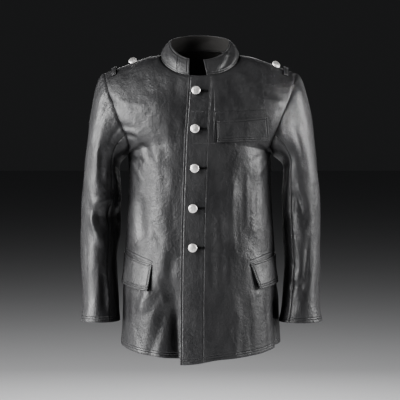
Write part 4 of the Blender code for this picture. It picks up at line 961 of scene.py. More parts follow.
def sleeve_angles(ring):
    """Angle round the arm, in radians, at a column of the sleeve counted as in the CAD sleeve."""
    even = 360.0 * ring / (2 * ARMHOLE_ROWS)
    return np.radians(even - RING_CROWDING * np.sin(np.radians(even)))


def sleeve_base(loop, ring, cap, tube, table, cuff_height):
    """Smooth form of a sleeve on the +X side: rows from the armhole to the cuff, columns round."""
    angles = sleeve_angles(ring)
    outside = (1 - np.cos(angles)) / 2
    start_heights = SLEEVE_TOP_HEIGHT - SLEEVE_TOP_TILT * np.cos(angles)
    full = tube_points(table, start_heights, angles)
    below = tube_points(table, start_heights - DOWN_PROBE, angles)
    down = unit(below - full)
    out = CAP_AWAY_OUT[0] + CAP_AWAY_OUT[1] * outside
    drop = CAP_AWAY_DOWN[0] + CAP_AWAY_DOWN[1] * outside
    away = unit(np.stack([out, CAP_AWAY_FORWARD * np.sin(angles), drop], axis=-1))
    chord = np.linalg.norm(full - loop, axis=1, keepdims=True)
    leave = loop + away * chord * (CAP_LEAVE[0] + CAP_LEAVE[1] * outside[:, None])
    arrive = full - down * chord * CAP_ARRIVE
    grid = [bezier(loop, leave, arrive, full, s) for s in cap / CAP_ROWS]
    grid += [tube_points(table, start_heights + (cuff_height - start_heights) * s, angles)
             for s in tube / TUBE_ROWS]
    return np.array(grid)


# Folds, creases and seams

def turn_between(start, end):
    """Turn from one angle to another, from -180 to 180 degrees."""
    return (end - start + 180.0) % 360.0 - 180.0


def beside_line(point, line):
    """How far along a line a point lies, as a share of it, and how far off to one side."""
    length = np.maximum(np.linalg.norm(line, axis=-1), TINY)
    way = line / length[..., None]
    along = np.sum(point * way, axis=-1) / length
    return along, point[..., 0] * way[..., 1] - point[..., 1] * way[..., 0]


def fold_heights(table, across, heights, reach):
    """Sum of the folds of a table at points given by an angle and a height.

    reach is the length, in metres, of one degree at each point.
    """
    total = np.zeros(np.shape(heights))
    for angle_0, height_0, angle_1, height_1, width, depth, end_0, end_1 in table[1:]:
        line = np.stack([turn_between(angle_0, angle_1) * reach,
                         (height_1 - height_0) + 0.0 * reach], axis=-1)
        point = np.stack([turn_between(angle_0, across) * reach, heights - height_0], axis=-1)
        along, off = beside_line(point, line)
        start = np.ones_like(along) if end_0 else ease(along / FOLD_END)
        finish = np.ones_like(along) if end_1 else ease((1 - along) / FOLD_END)
        inside = (along > -FOLD_REACH) & (along < 1 + FOLD_REACH)
        total += np.where(inside, depth * start * finish * np.exp(-(off / width) ** 2), 0.0)
    return total


def fold_places(points):
    """Angle, height and length of a degree at points of the body."""
    across = np.degrees(np.arctan2(points[..., 0], -points[..., 1]))
    reach = np.radians(1.0) * np.hypot(points[..., 0], points[..., 1])
    return across, points[..., 2], reach


def ripple(points, length, seed):
    """Smooth uneven waves through space, about -1 to 1, of a given wave length."""
    generator = np.random.default_rng(seed)
    ways = unit(generator.normal(size=(WAVE_COUNT, 3)))
    lengths = length * generator.uniform(*WAVE_SPREAD, WAVE_COUNT)
    phases = generator.uniform(0.0, 2 * math.pi, WAVE_COUNT)
    total = np.zeros(points.shape[:-1])
    for way, wave, phase in zip(ways, lengths, phases):
        across = points @ way[[1, 2, 0]] * 2 * math.pi / (wave * BEND_LENGTH)
        bend = WAVE_BEND * np.sin(across + phase * BEND_PHASE)
        total += np.sin(points @ way * 2 * math.pi / wave + phase + bend)
    return total / WAVE_SUM


def add_waves(fine, points, waves, height, first_seed=0):
    """Add the soft unevenness of worn leather to its creases."""
    for drawn, length, seed, share in waves[1:]:
        stretched = points * np.array([1.0, 1.0, drawn])
        fine = fine + height * ripple(stretched, length, first_seed + seed) * share
    return fine


def face_normals(grid):
    """Normals of a grid at its points, not yet joined over the seams."""
    a, b, c, d = grid[:-1, :-1], grid[:-1, 1:], grid[1:, 1:], grid[1:, :-1]
    face = np.cross(c - a, d - b)
    total = np.zeros_like(grid)
    total[:-1, :-1] += face
    total[:-1, 1:] += face
    total[1:, 1:] += face
    total[1:, :-1] += face
    return unit(total)


def join_normals(normals, grids):
    """Average the normals of seam points over the panels that share them."""
    sums = {}
    places = {}
    for name, grid in grids.items():
        rows, columns = grid.shape[:2]
        border = np.zeros((rows, columns), bool)
        border[[0, -1]] = True
        border[:, [0, -1]] = True
        keys = np.round(grid * SEAM_POINTS_PER_METRE).astype(int)
        places[name] = [(row, place, tuple(keys[row, place]))
                        for row, place in zip(*np.nonzero(border))]
        for row, place, key in places[name]:
            sums[key] = sums.get(key, np.zeros(3)) + normals[name][row, place]
    for name in grids:
        for row, place, key in places[name]:
            normals[name][row, place] = unit(sums[key])
    return normals


class Panel:
    """One cloth panel: its grid of outer points, normals, and lengths along the cloth."""

    def __init__(self, name, grid, sewn):
        self.name = name
        self.grid = grid
        self.sewn = sewn
        self.normals = face_normals(grid)
        self.across = lengths_along(grid, 1)
        self.up = lengths_along(grid, 0)
        self.away = {"first": self.across, "last": self.across[:, -1:] - self.across,
                     "low": self.up, "high": self.up[-1:] - self.up}
        self.seam = self.nearest(side for side in self.away if side in sewn)
        self.free = self.nearest(side for side in self.away if side not in sewn)
        self.rows = [self.away[side] - distance for side, distance, *_shares in stitch_rows(name)]
        self.rows += [self.line_distance(*line) for line in pocket_lines(name)]
        self.rows += [self.far()] * (STITCH_FIELDS - len(self.rows))

    def nearest(self, sides):
        """Distance of each point from the nearest of some borders."""
        return np.minimum.reduce([self.far()] + [self.away[side] for side in sides])

    def far(self):
        """A distance beyond any that the leather's finish looks at."""
        return np.full(self.across.shape, 1.0)

    def line_distance(self, start, end):
        """Distance of each point from a line on the panel seen from the front, minus on one side."""
        line = np.subtract(end, start)
        length = float(np.linalg.norm(line))
        way = line / length
        away = self.grid[..., [0, 2]] - np.asarray(start)
        along = away @ way
        off = away[..., 0] * way[1] - away[..., 1] * way[0]
        past = np.maximum(np.maximum(-along, along - length), 0.0)
        past = past + np.where(self.grid[..., 1] > BEHIND_FRONT, 1.0, 0.0)
        return np.where(past > 0, np.hypot(off, past), off)

    def fields(self):
        """Lengths and distances that the leather's finish follows."""
        fields = {"uv": (self.across, self.up), "seam": self.seam, "free": self.free}
        for number, row in enumerate(self.rows, start=1):
            fields["row_%d" % number] = row
        return fields

    def line(self, side, distance, start=0.0, end=1.0):
        """Points and normals on a line at a distance from one border, between two shares of it."""
        layers = [self.away[side], self.grid, self.normals]
        if side in ("low", "high"):
            layers = [np.swapaxes(layer, 0, 1) for layer in layers]
        if side in ("last", "high"):
            layers = [layer[:, ::-1] for layer in layers]
        away, grid, normals = layers
        last = len(grid) - 1
        points, facing = [], []
        for row in range(int(round(start * last)), int(round(end * last)) + 1):
            place = float(np.interp(distance, away[row], np.arange(away.shape[1])))
            low = min(int(place), away.shape[1] - 2)
            part = place - low
            points.append(grid[row, low] * (1 - part) + grid[row, low + 1] * part)
            facing.append(normals[row, low] * (1 - part) + normals[row, low + 1] * part)
        return np.array(points), unit(np.array(facing))

    def at(self, row, place):
        """Point and normal at a fractional row and column."""
        row = min(max(row, 0.0), self.grid.shape[0] - JUST_INSIDE)
        place = min(max(place, 0.0), self.grid.shape[1] - JUST_INSIDE)
        r, c = int(row), int(place)
        weights = corner_weights(place - c, row - r)
        corners = ((r, c), (r, c + 1), (r + 1, c), (r + 1, c + 1))
        point = sum(weight * self.grid[corner] for weight, corner in zip(weights, corners))
        normal = sum(weight * self.normals[corner] for weight, corner in zip(weights, corners))
        return point, unit(normal)

    def seen_at(self, x, z):
        """Point and normal where the surface, seen from the front, has a place."""
        return self.at(*self.place_of(x, z))

    def place_of(self, x, z):
        """Fractional row and column where the surface, seen from the front, has a place."""
        seen = self.grid[..., [0, 2]]
        miss = np.linalg.norm(seen - np.array([x, z]), axis=-1)
        r, c = np.unravel_index(int(np.argmin(miss)), miss.shape)
        row, place = float(r), float(c)
        for _step in range(SEEK_STEPS):
            low_r = min(max(int(row), 0), seen.shape[0] - 2)
            low_c = min(max(int(place), 0), seen.shape[1] - 2)
            v, u = row - low_r, place - low_c
            p = seen[low_r:low_r + 2, low_c:low_c + 2]
            here = ((1 - v) * ((1 - u) * p[0, 0] + u * p[0, 1])
                    + v * ((1 - u) * p[1, 0] + u * p[1, 1]))
            along_u = (1 - v) * (p[0, 1] - p[0, 0]) + v * (p[1, 1] - p[1, 0])
            along_v = (1 - u) * (p[1, 0] - p[0, 0]) + u * (p[1, 1] - p[0, 1])
            matrix = np.stack([along_u, along_v], axis=1)
            if abs(np.linalg.det(matrix)) < TINY:
                break
            step = np.linalg.solve(matrix, np.array([x, z]) - here)
            place = min(max(place + float(np.clip(step[0], -1, 1)), 0.0), seen.shape[1] - 1.0)
            row = min(max(row + float(np.clip(step[1], -1, 1)), 0.0), seen.shape[0] - 1.0)
        return row, place

    def walk_down(self, x, reach):
        """Point and normal at a sideways place, a walked distance below the top edge."""
        top = self.grid[-1, :, 0]
        order = np.argsort(top)
        place = float(np.interp(x, top[order], np.arange(len(top))[order]))
        low = min(int(place), len(top) - 2)
        part = place - low
        up = self.up[:, low] * (1 - part) + self.up[:, low + 1] * part
        row = float(np.interp(up[-1] - reach, up, np.arange(len(up))))
        return self.at(row, place)


def edge_weights(rows, columns, sides):
    """Weights that go to 0 along chosen sides, by CAD rows and columns from the border."""
    weight = np.ones((len(rows), len(columns)))
    if "l" in sides:
        weight = weight * ease((columns - columns[0]) / EDGE_FADE)[None, :]
    if "r" in sides:
        weight = weight * ease((columns[-1] - columns) / EDGE_FADE)[None, :]
    if "t" in sides:
        weight = weight * ease((rows[-1] - rows) / EDGE_FADE)[:, None]
    return weight


def shape_left_lap(grid, levels, out, fine):
    """Lay the left front over the right one; returns the folds and creases as the lap has them."""
    x = grid[..., 0]
    flat = ease((x - LAP_FLAT) / LAP_FLAT_RAMP)
    drop = OVERLAP_DIP * ease((DIP_START - x) / DIP_WIDTH)
    grid[..., 2] -= drop * (1 - ease(levels / DIP_LEVELS))[:, None]
    return (out * flat + LAP_OFFSET * ease((LAP_START - x) / LAP_RAMP),
            fine * (LAP_CREASE_SHARE + (1 - LAP_CREASE_SHARE) * flat))


def shape_right_lap(grid, places, out, fine):
    """Lay the right front under the left one; returns its folds and creases."""
    x = grid[..., 0]
    out = out + fold_heights(UNDER_FRONT_SWING, *places)
    out = np.where(x > UNDER_LAP, np.minimum(out, 0.0), out)
    return (out - LAP_OFFSET * ease((x - UNDER_LAP_START) / LAP_RAMP),
            fine * (1 - ease((x - UNDER_LAP) / LAP_RAMP)))


def shape_body(sizes):
    """Grids of the fronts and the back, with the lap, the folds and the creases."""
    side = steps_between(0, SIDE_ROWS, sizes.side_steps) / SIDE_ROWS
    armhole_count = ARMHOLE_ROWS * sizes.armhole_steps
    levels = np.concatenate([side, 1 + np.arange(armhole_count + 1) / armhole_count])
    count = LAP_COLUMNS + NECK_COLUMNS + SHOULDER_COLUMNS
    columns = np.concatenate([steps_between(0, LAP_COLUMNS, sizes.lap_steps),
                              steps_between(LAP_COLUMNS, count, sizes.front_steps), [count]])
    back_count = BACK_NECK_COLUMNS + SHOULDER_COLUMNS
    half = np.append(steps_between(0, back_count, sizes.back_steps), back_count)
    grids = {
        "front_left": front_base(levels, columns, OVERLAP_EDGE, COLLAR_END_LEFT),
        "front_right": mirrored(front_base(levels, columns, UNDERLAP_EDGE, COLLAR_END_RIGHT)),
        "back": back_base(levels, half)[:, ::-1],
    }
    normals = join_normals({name: face_normals(grid) for name, grid in grids.items()}, grids)
    rows = cad_row(levels)
    spread = {"front_left": (columns, "r"), "front_right": (count - columns[::-1], "l"),
              "back": (np.concatenate([back_count - half[::-1], back_count + half[1:]]), "lr")}
    above = ease((levels - SEAM_CALM_LEVEL) / SEAM_CALM_SPAN)[:, None]
    for name, grid in grids.items():
        places = fold_places(grid)
        counted, sides = spread[name]
        top = edge_weights(rows, counted, "t")
        calm = (1 - above + above * edge_weights(rows, counted, sides)) * top
        out = fold_heights(BODY_FOLDS, *places) * calm
        fine = fold_heights(BODY_CREASES, *places)
        fine = add_waves(fine, grid, BODY_WAVES, sizes.waviness) * top
        if name == "front_left":
            out, fine = shape_left_lap(grid, levels, out, fine)
        if name == "front_right":
            out, fine = shape_right_lap(grid, places, out, fine)
        grids[name] = grid + normals[name] * (out + fine)[..., None]
    return grids


def armhole_loop(front, back, start_row, side):
    """Armhole points from the underarm up the front and down the back; side is 1 left, -1 right."""
    front_edge = front[start_row:, -1] if side > 0 else front[start_row:, 0]
    back_edge = back[start_row:, 0] if side > 0 else back[start_row:, -1]
    return np.concatenate([front_edge, back_edge[-2::-1]]) * np.array([side, 1.0, 1.0])


def sleeve_gathers(angles, down, height, seed):
    """Small gathers of the sleeve head, by degrees round the arm and the way down from the seam."""
    sway = sum(size * np.sin(angles * rate + phase * seed) for size, rate, phase in GATHER_SWAYS[1:])
    gathers = 0.5 + 0.5 * np.sin(np.radians(angles) * GATHER_COUNT + sway * GATHER_SWAY)
    outside = (ease((angles - GATHER_FROM) / GATHER_RAMP)
               * ease((GATHER_TO - angles) / GATHER_RAMP))
    swell = ease(down / GATHER_RISE) * np.exp(-(down / GATHER_REACH) ** 2)
    head = height * (gathers * (GATHER_EVEN + GATHER_UNEVEN * sway)) + HEAD_SWELL
    return head * outside * swell


def shape_sleeve(loop, table, cuff_height, folds, creases, seed, sizes):
    """Grid of a whole sleeve on the +X side, with folds, creases and the gathers at its head."""
    ring = np.linspace(0.0, 2 * ARMHOLE_ROWS, len(loop))
    cap = np.arange(CAP_ROWS * CAP_STEPS) / CAP_STEPS
    tube = np.arange(TUBE_ROWS * TUBE_STEPS + 1) / TUBE_STEPS
    base = sleeve_base(loop, ring, cap, tube, table, cuff_height)
    normals = face_normals(base[:, ::-1])[:, ::-1]
    normals[:, 0] = normals[:, -1] = unit(normals[:, 0] + normals[:, -1])
    angles = np.degrees(sleeve_angles(ring))[None, :] + np.zeros(base.shape[:2])
    reach = np.full(base.shape[:2], math.radians(1.0) * SLEEVE_RADIUS)
    rows = np.concatenate([cap, CAP_ROWS + tube])[:, None]
    out = fold_heights(folds, angles, base[..., 2], reach) * ease(rows / CALM_SLEEVE_ROWS)
    fine = fold_heights(creases, angles, base[..., 2], reach)
    fine = add_waves(fine, base, SLEEVE_WAVES, sizes.waviness, seed)
    fine = fine * ease(rows / CREASE_CALM_ROWS)
    gathers = sleeve_gathers(angles, lengths_along(base), sizes.pucker, seed)
    moved = base + normals * (out + fine + gathers)[..., None]
    moved[:, -1] = moved[:, 0]
    return moved, ring


def split_sleeve(grid, ring, side):
    """Top and under pieces of a sleeve, faces out, on its own side of the body."""
    first = int(np.argmin(np.abs(ring - FRONT_SEAM_COLUMN)))
    last = int(np.argmin(np.abs(ring - BACK_SEAM_COLUMN)))
    top = grid[:, first:last + 1]
    under = np.concatenate([grid[:, last:-1], grid[:, :first + 1]], axis=1)
    if side > 0:
        return top[:, ::-1], under[:, ::-1]
    return top * MIRROR, under * MIRROR


def collar_top(sizes):
    """Points of the collar's upper edge, from the right end round the back to the left one."""
    def front(end):
        start = math.asin(end / COLLAR_TOP_HALF_WIDTH)
        steps = np.linspace(0.0, 1.0, NECK_COLUMNS * sizes.front_steps + 1)
        return ring_point(COLLAR_TOP_RING, start + (math.pi / 2 - start) * steps, -1)

    steps = np.linspace(-1.0, 1.0, 2 * BACK_NECK_COLUMNS * sizes.back_steps + 1)
    back = ring_point(COLLAR_TOP_RING, math.pi / 2 * steps, 1)
    right = front(COLLAR_END_RIGHT_TOP) * MIRROR
    return np.concatenate([right, back[1:-1], front(COLLAR_END_LEFT_TOP)[::-1]])


def collar_folds(grid):
    """Sum of the collar's creases at the points of its grid."""
    here = np.stack([lengths_along(grid, 1), lengths_along(grid)], axis=-1)
    whole = np.stack(np.broadcast_arrays(here[:, -1:, 0], here[-1:, :, 1]), axis=-1)
    total = np.zeros(grid.shape[:2])
    for round_0, up_0, round_1, up_1, width, depth in COLLAR_CREASES[1:]:
        start = whole * (round_0, up_0)
        along, off = beside_line(here - start, whole * (round_1, up_1) - start)
        ends = (ease((along + COLLAR_FOLD_REACH) / COLLAR_FOLD_END)
                * ease((1 + COLLAR_FOLD_REACH - along) / COLLAR_FOLD_END))
        total += depth * ends * np.exp(-(off / width) ** 2)
    return total


def shape_collar(grids, sizes):
    """Grid of the collar band, columns from the wearer's left end round the back to the right."""
    first = LAP_COLUMNS * sizes.lap_steps
    last = first + NECK_COLUMNS * sizes.front_steps
    right = grids["front_right"][-1, ::-1][first:last + 1]
    left = grids["front_left"][-1][first:last + 1]
    trim = SHOULDER_COLUMNS * sizes.back_steps
    back = grids["back"][-1][trim:-trim][::-1]
    base = np.concatenate([right, back[1:-1], left[::-1]])
    top = collar_top(sizes)
    outward = unit(np.stack([base[:, 0], base[:, 1], np.full(len(base), COLLAR_LEAN)], axis=-1))
    ups = np.linspace(0.0, 1.0, COLLAR_ROWS + 1)
    grid = np.array([base * (1 - s) + top * s + outward * COLLAR_BULGE * 4 * s * (1 - s)
                     for s in ups])
    out = collar_folds(grid) * ease(ups / COLLAR_FOLD_CALM)[:, None]
    return (grid + outward * out[..., None])[:, ::-1]


GARMENT = {}


def garment():
    """All the panels, shaped once: front, back, sleeves and collar."""
    if GARMENT:
        return GARMENT
    sizes = bpy.context.scene.jacket_cloth
    grids = shape_body(sizes)
    start_row = SIDE_ROWS * sizes.side_steps
    for side, suffix in SIDES:
        loop = armhole_loop(grids["front_" + suffix], grids["back"], start_row, side)
        top, under = split_sleeve(*shape_sleeve(loop, *SLEEVES[suffix], sizes), side)
        grids["sleeve_top_" + suffix] = top
        grids["sleeve_under_" + suffix] = under
    grids["collar"] = shape_collar(grids, sizes)
    for name, grid in grids.items():
        GARMENT[name] = Panel(name, grid, SEWN.get(name, SEWN_SLEEVE))
    joined = join_normals({name: panel.normals for name, panel in GARMENT.items()}, grids)
    for name, panel in GARMENT.items():
        panel.normals = joined[name]
        settle_seams(panel, sizes.seam_sink)
    return GARMENT


def settle_seams(panel, sink):
    """Draw a panel's sewn borders back by half a gap and let the leather dip beside them."""
    grid, sewn = panel.grid, panel.sewn
    dip = sink * np.exp(-(panel.seam / SEAM_DIP_WIDTH) ** 2)
    if panel.name.startswith("front"):
        sewn += ("high",)
        dip = np.maximum(dip, sink * np.exp(-(panel.away["high"] / SEAM_DIP_WIDTH) ** 2))
    inward = np.zeros_like(grid)
    for border in sewn:
        edge, beside = BORDERS[border]
        inward[edge] += unit(grid[beside] - grid[edge]) * SEAM_GAP / 2
    panel.grid = grid + inward - panel.normals * dip[..., None]


# Making of pieces

def cloth_sheet(name, grid, fields, materials):
    """A leather sheet laid on a grid of points, with its wall, turned edges and cloth lengths."""
    rows, columns = grid.shape[0] - 1, grid.shape[1] - 1
    builder = bmesh.new()
    uv_layer = builder.loops.layers.uv.new("cloth")
    bmesh.ops.create_grid(builder, x_segments=columns, y_segments=rows, size=0.5)
    layers = {field: builder.verts.layers.float.new(field) for field in fields if field != "uv"}
    order = {}
    for vertex in builder.verts:
        order[vertex] = (round((vertex.co.y + 0.5) * rows), round((vertex.co.x + 0.5) * columns))
    across, up = fields["uv"]
    for vertex, place in order.items():
        vertex.co = grid[place]
        for field, layer in layers.items():
            vertex[layer] = fields[field][place]
    for face in builder.faces:
        for loop in face.loops:
            place = order[loop.vert]
            loop[uv_layer].uv = (across[place], up[place])
    piece = finish_piece(name, builder, materials)
    wall = piece.modifiers.new("Wall", "SOLIDIFY")
    wall.thickness = WALL
    wall.offset = -1.0
    wall.use_rim = True
    wall.material_offset = len(materials) - 1
    turned = piece.modifiers.new("Turned edge", "BEVEL")
    turned.width = bpy.context.scene.jacket_cloth.edge_radius
    turned.segments = 2
    turned.limit_method = "ANGLE"
    turned.angle_limit = EDGE_ANGLE
    turned.harden_normals = False
    return piece


def finish_piece(name, builder, materials):
    """Make a smooth shaded object of a finished bmesh, with materials by their names."""
    mesh = bpy.data.meshes.new(name)
    builder.to_mesh(mesh)
    builder.free()
    for material in materials:
        mesh.materials.append(find_material(material))
    mesh.shade_smooth()
    piece = bpy.data.objects.new(name, mesh)
    bpy.context.scene.collection.objects.link(piece)
    return piece


# Panels of the small flaps and loops, by name, kept for their stitching
STRIPS = {}


def leather_piece(name, panel, kind):
    """Make the leather of a panel and let it stand for its CAD node."""
    materials = ["Black leather " + kind, "Leather inner face"]
    piece = cloth_sheet("leather_" + name, panel.grid, panel.fields(), materials)
    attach(piece, "root")
    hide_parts(name)
    return piece


def dress_panels(names, kind="body"):
    """Make garment panels of leather, one for each name."""
    for name in names:
        piece = leather_piece(name, garment()[name], kind)


def dress_strip(name, grid):
    """Make a small flap or loop that lies on the jacket, and keep its panel."""
    STRIPS[name] = Panel(name, grid, ())
    piece = leather_piece(name, STRIPS[name], "trim")


def flap_grid(front, inner_top, inner_top_z, inner_low, inner_low_z,
              outer_top, outer_top_z, outer_low, outer_low_z, stand_off, straight):
    """Outer grid of a pocket flap, faces out, laid on its front."""
    side = side_of(front)
    panel = garment()[front]
    seen = np.array([(inner_low, inner_low_z), (outer_low, outer_low_z),
                     (inner_top, inner_top_z), (outer_top, outer_top_z)]) * (side, 1.0)
    laid = np.array([panel.place_of(x, z) for x, z in seen])
    grid = np.zeros((FLAP_ROWS + 1, FLAP_COLUMNS + 1, 3))
    for up in range(FLAP_ROWS + 1):
        v = up / FLAP_ROWS
        for across in range(FLAP_COLUMNS + 1):
            u = across / FLAP_COLUMNS
            weights = corner_weights(u, v)
            place = panel.place_of(*(weights @ seen)) if straight else weights @ laid
            point, normal = panel.at(*place)
            settled = 1.0 if straight else 1 - u ** FLAP_SETTLE
            rise = stand_off * (1 - v) ** FLAP_CURL * settled
            waves = np.dot(FLAP_WAVE_RATES, (u, v))
            swell = (FLAP_SWELL * math.sin(math.pi * u) * (1 - v)
                     + FLAP_WAVE * math.sin(waves)) * (1 - FLAP_STRAIGHT_CALM * straight)
            grid[up, across] = point + normal * (LAY_GAP + WALL + rise + swell)
    return grid[:, ::-1] if side < 0 else grid


def loop_grid(side, suffix):
    """Outer grid of a short strap that bridges the shoulder seam near the sleeve head."""
    front, back = garment()["front_" + suffix], garment()["back"]
    centre, facing = [], []
    for step in range(-LOOP_STEPS, LOOP_STEPS + 1):
        share = abs(step) / LOOP_STEPS
        panel = front if step <= 0 else back
        point, normal = panel.walk_down(side * SHOULDER_LOOP_X, SHOULDER_LOOP_REACH * share)
        rise = SHOULDER_LOOP_RISE * (1 - share ** LOOP_FLATNESS)
        centre.append(point + normal * (LAY_GAP + rise + WALL))
        facing.append(normal)
    centre, facing = np.array(centre), np.array(facing)
    along = unit(np.gradient(centre, axis=0))
    across = unit(np.cross(along, facing))
    places = np.linspace(-0.5, 0.5, LOOP_COLUMNS + 1) * SHOULDER_LOOP_WIDTH
    return centre[:, None] + across[:, None] * places[None, :, None]


# Stitching

def resampled(points, facing, pitch):
    """Points, ways and normals at an even pitch along a line of points."""
    lengths = lengths_along(points)
    count = max(int(lengths[-1] / pitch), 1)
    wanted = (np.arange(count) + 0.5) * lengths[-1] / count
    ahead = read_line(points, lengths, wanted + pitch * STITCH_WAY_SHARE)
    behind = read_line(points, lengths, wanted - pitch * STITCH_WAY_SHARE)
    normals = read_line(facing, lengths, wanted)
    return read_line(points, lengths, wanted), unit(ahead - behind), unit(normals)


def laid_at(point, *ways):
    """The matrix that lays something at a point, its axes along three ways."""
    turn = Matrix([[way[i] for way in ways] for i in range(3)]).to_4x4()
    return Matrix.Translation(Vector(point)) @ turn


def add_bead(builder, point, way, normal, size):
    """A small rounded bead of thread along its way; size is half its length, width and height."""
    place = laid_at(point, way, unit(np.cross(normal, way)), normal)
    bmesh.ops.create_icosphere(builder, subdivisions=1, radius=1.0,
                               matrix=place @ Matrix.Diagonal((*size, 1.0)))


def sew_line(builder, points, facing):
    """A line of stitches, each half sunk in the leather."""
    sizes = bpy.context.scene.jacket_stitches
    half = sizes.thickness / 2
    line = bmesh.new()
    for spot, way, normal in zip(*resampled(np.array(points), np.array(facing), sizes.pitch)):
        raised = spot + normal * (sizes.thickness * STITCH_SINK_SHARE)
        add_bead(line, raised, way, normal, (sizes.length / 2, half, half))
    carried = bpy.data.meshes.new("stitch line")
    line.to_mesh(carried)
    line.free()
    builder.from_mesh(carried)
    bpy.data.meshes.remove(carried)


def sew_pockets(builder, panel):
    """The lines of stitching beside and above the flaps of a front."""
    for start, end in pocket_lines(panel.name):
        count = max(int(math.dist(start, end) / POCKET_LINE_STEP), 2)
        shares = np.linspace(0.0, 1.0, count + 1)[:, None]
        spots = np.asarray(start) * (1 - shares) + np.asarray(end) * shares
        sew_line(builder, *zip(*[panel.seen_at(x, z) for x, z in spots]))


def finish_sewn(name, builder, material):
    """Finish a piece made of many stitches, or of the painted shade laid in the buttonholes."""
    piece = finish_piece(name, builder, [material])
    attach(piece, "root")


def stitch_buttonhole(builder, panel, x, z):
    """A ring of stitches round a buttonhole, wider at the eye that lies away from the button."""
    for step in range(BUTTONHOLE_STITCHES):
        turn = 2 * math.pi * step / BUTTONHOLE_STITCHES
        across = BUTTONHOLE_LENGTH / 2 * math.cos(turn)
        up = BUTTONHOLE_WIDTH / 2 * math.sin(turn)
        up *= 1.0 + EYE_WIDENING * ease((across - BUTTONHOLE_LENGTH * EYE_START) / EYE_RAMP)
        point, normal = panel.seen_at(x + across, z + up)
        way = unit(np.array([across * BUTTONHOLE_LEAN, 0.0, up + 1e-6]))
        way = unit(way - normal * np.dot(way, normal))
        add_bead(builder, point + normal * BUTTONHOLE_RISE, way, normal, BUTTONHOLE_STITCH)


def lay_slit_shade(builder, panel, x, z):
    """A thin near-black slot and its round eye laid on a buttonhole: painted shade standing for the
    opening.
    """
    point, normal = panel.seen_at(x, z)
    way = unit(panel.seen_at(x + SLOT_PROBE, z)[0] - point)
    place = laid_at(point, way, unit(np.cross(normal, way)), normal)
    slot = Matrix.Diagonal((BUTTONHOLE_LENGTH - SLOT_END, BUTTONHOLE_SLIT, SLIT_HEIGHT, 1.0))
    bmesh.ops.create_cube(builder, size=1.0, matrix=place @ slot)
    eye = Matrix.Translation((BUTTONHOLE_LENGTH / 2 - BUTTONHOLE_EYE * EYE_SHARE, 0.0, 0.0))
    bmesh.ops.create_cone(builder, cap_ends=True, cap_tris=False, segments=EYE_SEGMENTS,
                          radius1=BUTTONHOLE_EYE / 2, radius2=BUTTONHOLE_EYE / 2,
                          depth=SLIT_HEIGHT * EYE_RAISE, matrix=place @ eye)


# Materials

# Noise of each finish: scale, detail, roughness, distortion
PATTERNS = {
    "pores": (1500, 2, 0.5, 0),
    "folds": (26, 5, 0.62, 0.8),
    "soft creases": (70, 4, 0.62, 0.1),
    "dimples": (170, 3, 0.55, 0.3),
    "puckers": (120, 2, 0.5, 0.2),
    "gathers": (210, 2, 0.5, 0.2),
    "patches": (7, 4, 0.6, 0.3),
    "streaks": (34, 5, 0.65, 0),
    "nap": (420, 4, 0.7, 0),
    "strands": (2600, 2, 0.5, 0),
    "smudges": (260, 4, 0.6, 0),
    "fibres": (900, 2, 0.5, 0),
    "clouds": (2, 3, 0.5, 0),
}
# Where each effect begins and ends, along a distance or a pattern, and how strong it is at both
RANGES = {
    "line": (0.0, 0.09, 0.0, 1.0),
    "near seam": (0.0, 0.012, 1.0, 0.0),
    "near row": (0.0, 0.0085, 1.0, 0.0),
    "groove": (0.0, 0.0028, -0.00075, 0.0),
    "rubbed edge": (0.0, 0.0024, 0.20, 0.0),
    "rubbed seam": (0.0016, 0.0060, 0.16, 0.0),
    "rubbed patch": (0.50, 0.80, 0.0, 0.45),
    # lighter away from the fine crease lines, so these lines stay darker
    "rubbed ridge": (0.35, 1.0, 0.0, 0.12),
    "gloss": (0.32, 0.68, -0.09, 0.09),
    "fibres": (0.3, 0.7, 0.85, 1.0),
}
METAL_GLOSS = (0.3, 0.7, -0.06, 0.10)
# Values that each shader itself holds
FINISHES = {
    "leather": {"Specular IOR Level": 0.5, "Coat Weight": 0.06, "Coat Roughness": 0.34},
    "inner face": {"Roughness": 0.92, "Specular IOR Level": 0.25},
    "thread": {"Roughness": 0.85, "Specular IOR Level": 0.2},
    "metal": {"Metallic": 1.0},
    # Near-black painted shade laid in the buttonhole openings
    "slit": {"Base Color": (0.003, 0.003, 0.003, 1.0), "Specular IOR Level": 0.1},
    "floor": {"Roughness": 0.75},
}
# Tone of each kind of leather piece: colour factor, change of roughness, strength of the creases
LEATHER_KINDS = {
    "body": (1.0, 0.0, 1.0),
    "sleeve": (1.08, -0.02, 1.1),
    "trim": (0.92, 0.02, 1.0),
}
# Darkest and lightest tone of the plainer finishes, as factors of their colour
INSIDE_TONES = (0.7, 1.3)
THREAD_TONES = (0.7, 1.5)
METAL_KINDS = {"bright": 1.0, "pebbled": 0.86}
METAL_SHADE = 0.86
FLOOR_SHADE = 0.97
GRAIN_SOFTNESS = 0.6
GRAIN_SHARE = -1.6
PORE_SHARE = 0.6
LINE_SHARE = 0.04
PUCKER_HEIGHT = 0.0012
GATHER_HEIGHT = 0.0004
GRAIN_GLOSS = 0.06
HANGING_STRETCH = (1.0, 1.0, 0.4)
NAP_HEIGHT = 0.0004
PEBBLE_SCALE = 900.0
PEBBLE_SOFTNESS = 0.4
PEBBLE_HEIGHT = 0.00018


def object_place(tree):
    """Place on the piece itself."""
    return tree.nodes.new("ShaderNodeTexCoord").outputs["Object"]


def maths(tree, operation, first, second=None):
    """A Math node with sockets or numbers put in."""
    node = tree.nodes.new("ShaderNodeMath")
    node.operation = operation
    for socket, value in zip(node.inputs, (first, second)):
        if isinstance(value, (int, float)):
            socket.default_value = value
        elif value is not None:
            tree.links.new(value, socket)
    return node.outputs["Value"]


def times(tree, first, second):
    """The product of two values."""
    return maths(tree, "MULTIPLY", first, second)


def plus(tree, total, *values):
    """The sum of some values."""
    for value in values:
        total = maths(tree, "ADD", total, value)
    return total


